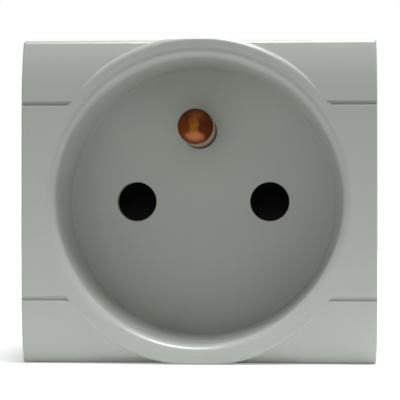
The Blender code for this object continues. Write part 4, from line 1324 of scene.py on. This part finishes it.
@dataclass
class RearHousing:
    """The rear moulding: a flange against the cover and a block with the live chambers."""

    finish: Finish
    block_inset: Pair = (6.7 * MM, 1.3 * MM)  # From the body's sides, and from its top.
    back_round: float = 0.8 * MM
    edge_round: float = 0.25 * MM
    jaw_reach: float = 4.4 * MM
    gusset_z: float = 8.0 * MM
    gusset_thickness: float = 1.4 * MM
    gusset_reach: float = 4.6 * MM
    gusset_depth: float = 6.0 * MM
    access_ease: float = 0.4 * MM
    access_chamfer: float = 0.35 * MM
    access_steps: int = 72
    entry_ease: float = 0.1 * MM

    def shell(self) -> Solid:
        """The flange, the block and the gussets between them.

        Returns:
            The solid.
        """
        halves = tuple(half - inset for half, inset in zip(LAY.body, self.block_inset))
        root_y, flange_y = LAY.flange_back_y - LAY.overlap, LAY.flange_back_y
        block = Solid.centred(halves, (root_y, LAY.rear_back_y))
        block.rounded(self.back_round, behind(LAY.rear_back_y - LAY.overlap / 2), segments=4)
        flange = Solid.centred(LAY.body, (LAY.rear_y, flange_y)).rounded(self.edge_round, segments=3)
        wall, tip_y = halves[0], flange_y + self.gusset_depth
        inner, outer = wall - LAY.overlap, wall + self.gusset_reach
        outline = [(inner, root_y), (outer, root_y), (outer, flange_y), (wall, tip_y), (inner, tip_y)]
        ribs = []
        for side in SIDES:
            for height in (-self.gusset_z, self.gusset_z):
                ends = span(height, self.gusset_thickness / 2)
                ribs.append(Solid.pushed([(side * x, y) for x, y in outline], Axis.Z, ends))
        return block | flange | Solid.gathered(ribs)

    def line_pocket(self, x: float) -> list[Solid]:
        """Cutters for a contact's chamber and the channel of its tail.

        Args:
            x: Where the contact's middle is.

        Returns:
            The two cutters.
        """
        front = LAY.rear_y - LAY.overlap
        half_height = LAY.contact_height / 2 + LAY.gap
        chamber = Solid.block(span(x, self.jaw_reach), (front, LAY.chamber_end_y), span(0.0, half_height))
        channel_zs = (LAY.terminal_top - LAY.overlap, LAY.overlap - half_height)
        channel_xs = span(x, LAY.rib_width / 2 + LAY.gap)
        return [chamber, Solid.block(channel_xs, (front, LAY.clip_base_y), channel_zs)]

    def terminal_pocket(self, x: float) -> list[Solid]:
        """Cutters for a terminal's pocket, the hole to its screw and its wire entry.

        Args:
            x: Where the terminal's middle is.

        Returns:
            The three cutters.
        """
        ys = (LAY.rear_y - LAY.overlap, LAY.contact_base_y + LAY.gap)
        zs = (LAY.terminal_bottom - LAY.gap, LAY.terminal_top + LAY.gap)
        pocket = Solid.block(span(x, LAY.terminal_width / 2 + LAY.gap), ys, zs)
        radius, flare = LAY.clamp_head[0] + self.access_ease, 2 * self.access_chamfer
        front, back = LAY.contact_base_y, LAY.rear_back_y + flare / 2
        profile = [(0.0, front), (radius, front), (radius, back - flare), (radius + flare, back), (0.0, back)]
        access = Solid.turned(profile, self.access_steps, x, LAY.terminal_z)
        entry_xs = span(x, LAY.bore[0] / 2 + LAY.gap)
        entry_ys = span(LAY.bore_middle_y, LAY.bore[1] / 2 + self.entry_ease)
        return [pocket, access, Solid.block(entry_xs, entry_ys, (-LAY.body[1], LAY.terminal_bottom))]

    def earth_channel(self) -> list[Solid]:
        """Cutters for the earth strap's channel, the pin's flange and its riveted end.

        Returns:
            The four cutters.
        """
        front, back, low = LAY.rear_y - LAY.overlap, LAY.strap_room_y, LAY.terminal_top - LAY.overlap
        channel_xs = span(LAY.earth[0], LAY.strap_width / 2 + LAY.gap)
        channel = Solid.block(channel_xs, (front, back), (low, LAY.strap_top + LAY.gap))
        drop_xs = span(0.0, LAY.tail_width / 2 + LAY.gap)
        drop_ys = (front, LAY.tail_y + LAY.strap_thickness + LAY.gap)
        drop = Solid.block(drop_xs, drop_ys, (low, LAY.terminal_top + LAY.strap_rise + LAY.strap_thickness))
        flange = Solid.bar(LAY.earth_flange[0] + LAY.gap, (front, back), *LAY.earth)
        rivet_ys = (LAY.rear_y, back + LAY.rivet[1] + LAY.gap)
        return [channel, drop, flange, Solid.bar(LAY.rivet[0] + LAY.gap, rivet_ys, *LAY.earth)]

    def build(self) -> None:
        """Make the housing."""
        cutters = [cutter for pole in LINE_POLES for cutter in self.line_pocket(pole.x)]
        cutters += [cutter for pole in Pole for cutter in self.terminal_pocket(pole.x)]
        holes = screw_holes((LAY.rear_y - LAY.overlap, LAY.flange_back_y + LAY.overlap))
        housing = self.shell()
        for cutter in [*cutters, *self.earth_channel(), Solid.gathered(holes)]:
            housing = housing - cutter
        housing.piece("rear_housing", self.finish)


@dataclass
class HousingScrews:
    """Four pan-head screws with cross recesses, through the flange into the bosses."""

    finish: Finish
    head_radius: float = 2.2 * MM
    head_thickness: float = 1.6 * MM
    crown: float = 0.8 * MM
    crown_steps: int = 12
    flat: float = 1.3 * MM
    cross: Pair = (1.3 * MM, 0.3 * MM)  # Half its length and half its width.
    cross_depth: float = 0.9 * MM
    edge_round: float = 0.06 * MM
    steps: int = 64

    def build_screw(self, name: str, x: float, z: float) -> None:
        """Make one screw.

        Args:
            name: The node that it replaces.
            x: Where it stands across.
            z: Where it stands in height.
        """
        radius, side = LAY.screw_radius, self.head_radius - self.flat
        head_y = LAY.flange_back_y + LAY.gap
        back, tip_y = head_y + self.head_thickness, head_y - LAY.screw_length
        quarter = arc((0.0, 0.0), 1.0, 0, 90, self.crown_steps)
        profile = [(0.0, tip_y), (radius, tip_y + radius), (radius, head_y), (self.head_radius, head_y)]
        profile += [(self.flat + side * across, back - self.crown * (1 - up)) for across, up in quarter]
        screw = Solid.turned([*profile, (0.0, back)], self.steps, x, z)
        ys = (back - self.cross_depth, back + LAY.overlap)
        for across, tall in (self.cross, self.cross[::-1]):
            screw = screw - Solid.block(span(x, across), ys, span(z, tall))
        screw.rounded(self.edge_round, behind(back - self.cross_depth / 2)).piece(name, self.finish)

    def build(self) -> None:
        """Make the four screws."""
        for x, z in LAY.corners:
            corner = f"{'upper' if z > 0 else 'lower'}_{'right' if x > 0 else 'left'}"
            self.build_screw(f"housing_screw_{corner}", x, z)


@dataclass(frozen=True)
class SoftLight:
    """A soft rectangular light that faces the module."""

    name: str
    elevation: float
    azimuth: float
    size: Pair
    power: float
    color: Color = (1.0, 1.0, 1.0)
    distance: float = 1.0

    def build(self) -> None:
        """Hang the light; azimuth 0 is in front and 90 is on the right."""
        data = bpy.data.lights.new(self.name, "AREA")
        data.shape = "RECTANGLE"
        data.size, data.size_y = self.size
        data.energy = self.power
        data.color = self.color
        up, across = math.radians(self.elevation), math.radians(self.azimuth)
        level = math.cos(up)
        place = Vector((math.sin(across) * level, -math.cos(across) * level, math.sin(up)))
        light = linked(self.name, data)
        light.location = place * self.distance
        light.rotation_euler = place.to_track_quat("Z", "Y").to_euler()


@dataclass
class Studio:
    """The floor, the soft lights and the camera at the photograph's angle."""

    camera_place: Point = (8.443 * MM, -185.593 * MM, -0.711 * MM)
    camera_yaw: float = -0.0466
    camera_pitch: float = 0.0049
    lens: float = 120.5
    sensor: float = 36.0
    clip_start: float = 1.0 * MM
    floor_half_width: float = 400.0 * MM
    floor_ys: Pair = (-55.0 * MM, 450.0 * MM)
    floor_gap: float = 0.05 * MM
    floor_thickness: float = 0.1 * MM
    floor_color: Color = (0.9, 0.9, 0.9)
    floor_roughness: float = 0.8
    floor_glow: float = 0.3
    room_light: float = 0.2
    lights: tuple[SoftLight, ...] = (
        SoftLight("key", 80.0, 50.0, (0.52, 0.46), 9.9, (0.93, 1.0, 0.985)),
        SoftLight("front", 4.0, -8.0, (0.5, 0.35), 0.3, (1.0, 0.99, 0.97)),
        SoftLight("back", 35.0, 165.0, (0.6, 0.4), 2.4),
    )

    def build_camera(self) -> None:
        """Stand the camera where the photograph was taken from."""
        data = bpy.data.cameras.new("camera")
        data.lens = self.lens
        data.sensor_width = self.sensor
        data.clip_start = self.clip_start
        camera = linked("camera", data)
        camera.location = self.camera_place
        yaw, level = self.camera_yaw, math.cos(self.camera_pitch)
        forward = Vector((math.sin(yaw) * level, math.cos(yaw) * level, math.sin(self.camera_pitch)))
        camera.rotation_euler = forward.to_track_quat("-Z", "Y").to_euler()
        bpy.context.scene.camera = camera

    def build_floor(self) -> None:
        """Lay a plain pale table under the module, which the camera alone sees a little brighter."""
        level = CAD_BOX[0].z - self.floor_gap
        zs = (level - self.floor_thickness, level)
        floor = Solid.block(span(0.0, self.floor_half_width), self.floor_ys, zs).placed("floor")
        graph = Graph("floor_paint")
        seen = graph.add("LightPath", {}, "Is Camera Ray")
        paint = {"Base Color": (*self.floor_color, 1.0), "Roughness": self.floor_roughness}
        glow = {"Emission Color": seen, "Emission Strength": self.floor_glow}
        graph.feed(graph.shader, {**paint, **glow})
        floor.data.materials.append(graph.material)

    def build_room(self) -> None:
        """Surround everything with white that lights the module only weakly."""
        world = bpy.data.worlds.new("room")
        world.use_nodes = True
        nodes, links = world.node_tree.nodes, world.node_tree.links
        shader = nodes["Background"]
        shader.inputs["Color"].default_value = (1.0, 1.0, 1.0, 1.0)
        rays, level = nodes.new("ShaderNodeLightPath"), nodes.new("ShaderNodeMapRange")
        level.inputs["To Min"].default_value = self.room_light
        links.new(rays.outputs["Is Camera Ray"], level.inputs["Value"])
        links.new(level.outputs["Result"], shader.inputs["Strength"])
        bpy.context.scene.world = world
        bpy.context.scene.view_settings.view_transform = "Standard"

    def build(self) -> None:
        """Make the room."""
        self.build_camera()
        self.build_floor()
        self.build_room()
        for light in self.lights:
            light.build()


def build_socket() -> None:
    """Make and dress every piece of the module."""
    rubbed = tuple((pole.x, 0.0) for pole in LINE_POLES)
    matt = tuple(LAY.floor_y - rise for rise in WELL_MATT)
    cover = MouldedPlastic("cover_plastic", (0.62, 0.63, 0.59), 0.29, specular=0.9, rubbed=rubbed, matt=matt)
    black = MouldedPlastic("shutter_plastic", (0.008, 0.008, 0.008), 0.5)
    inner = MouldedPlastic("inner_plastic", (0.62, 0.61, 0.57), 0.5)
    housing = MouldedPlastic("housing_plastic", (0.07, 0.07, 0.075), 0.5, grain=0.25 * MM)
    brass = Metal("contact_brass", (0.78, 0.56, 0.25), 0.28, tarnish=(0.42, 0.24, 0.09))
    spring = Metal("spring_steel", (0.5, 0.5, 0.52), 0.28, tarnish=(0.2, 0.2, 0.21))
    plated = Metal("plated_steel", (0.66, 0.66, 0.64), 0.28, tarnish=(0.4, 0.39, 0.33))
    pin = HandledPin("pin_brass", (0.36, 0.085, 0.018), 0.28, axis=LAY.earth)
    FrontCover(cover).build()
    Shutter(black, spring, inner).build()
    EarthPath(pin, brass).build()
    for pole in LINE_POLES:
        LineContact(pole, brass, spring).build()
    for pole in Pole:
        Terminal(pole, brass, plated).build()
    RearHousing(housing).build()
    HousingScrews(plated).build()


def main() -> None:
    """Build the module and the room."""
    logging.basicConfig(level=logging.INFO, format="%(name)s: %(message)s")
    build_socket()
    Studio().build()
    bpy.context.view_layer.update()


if __name__ == "__main__":
    main()
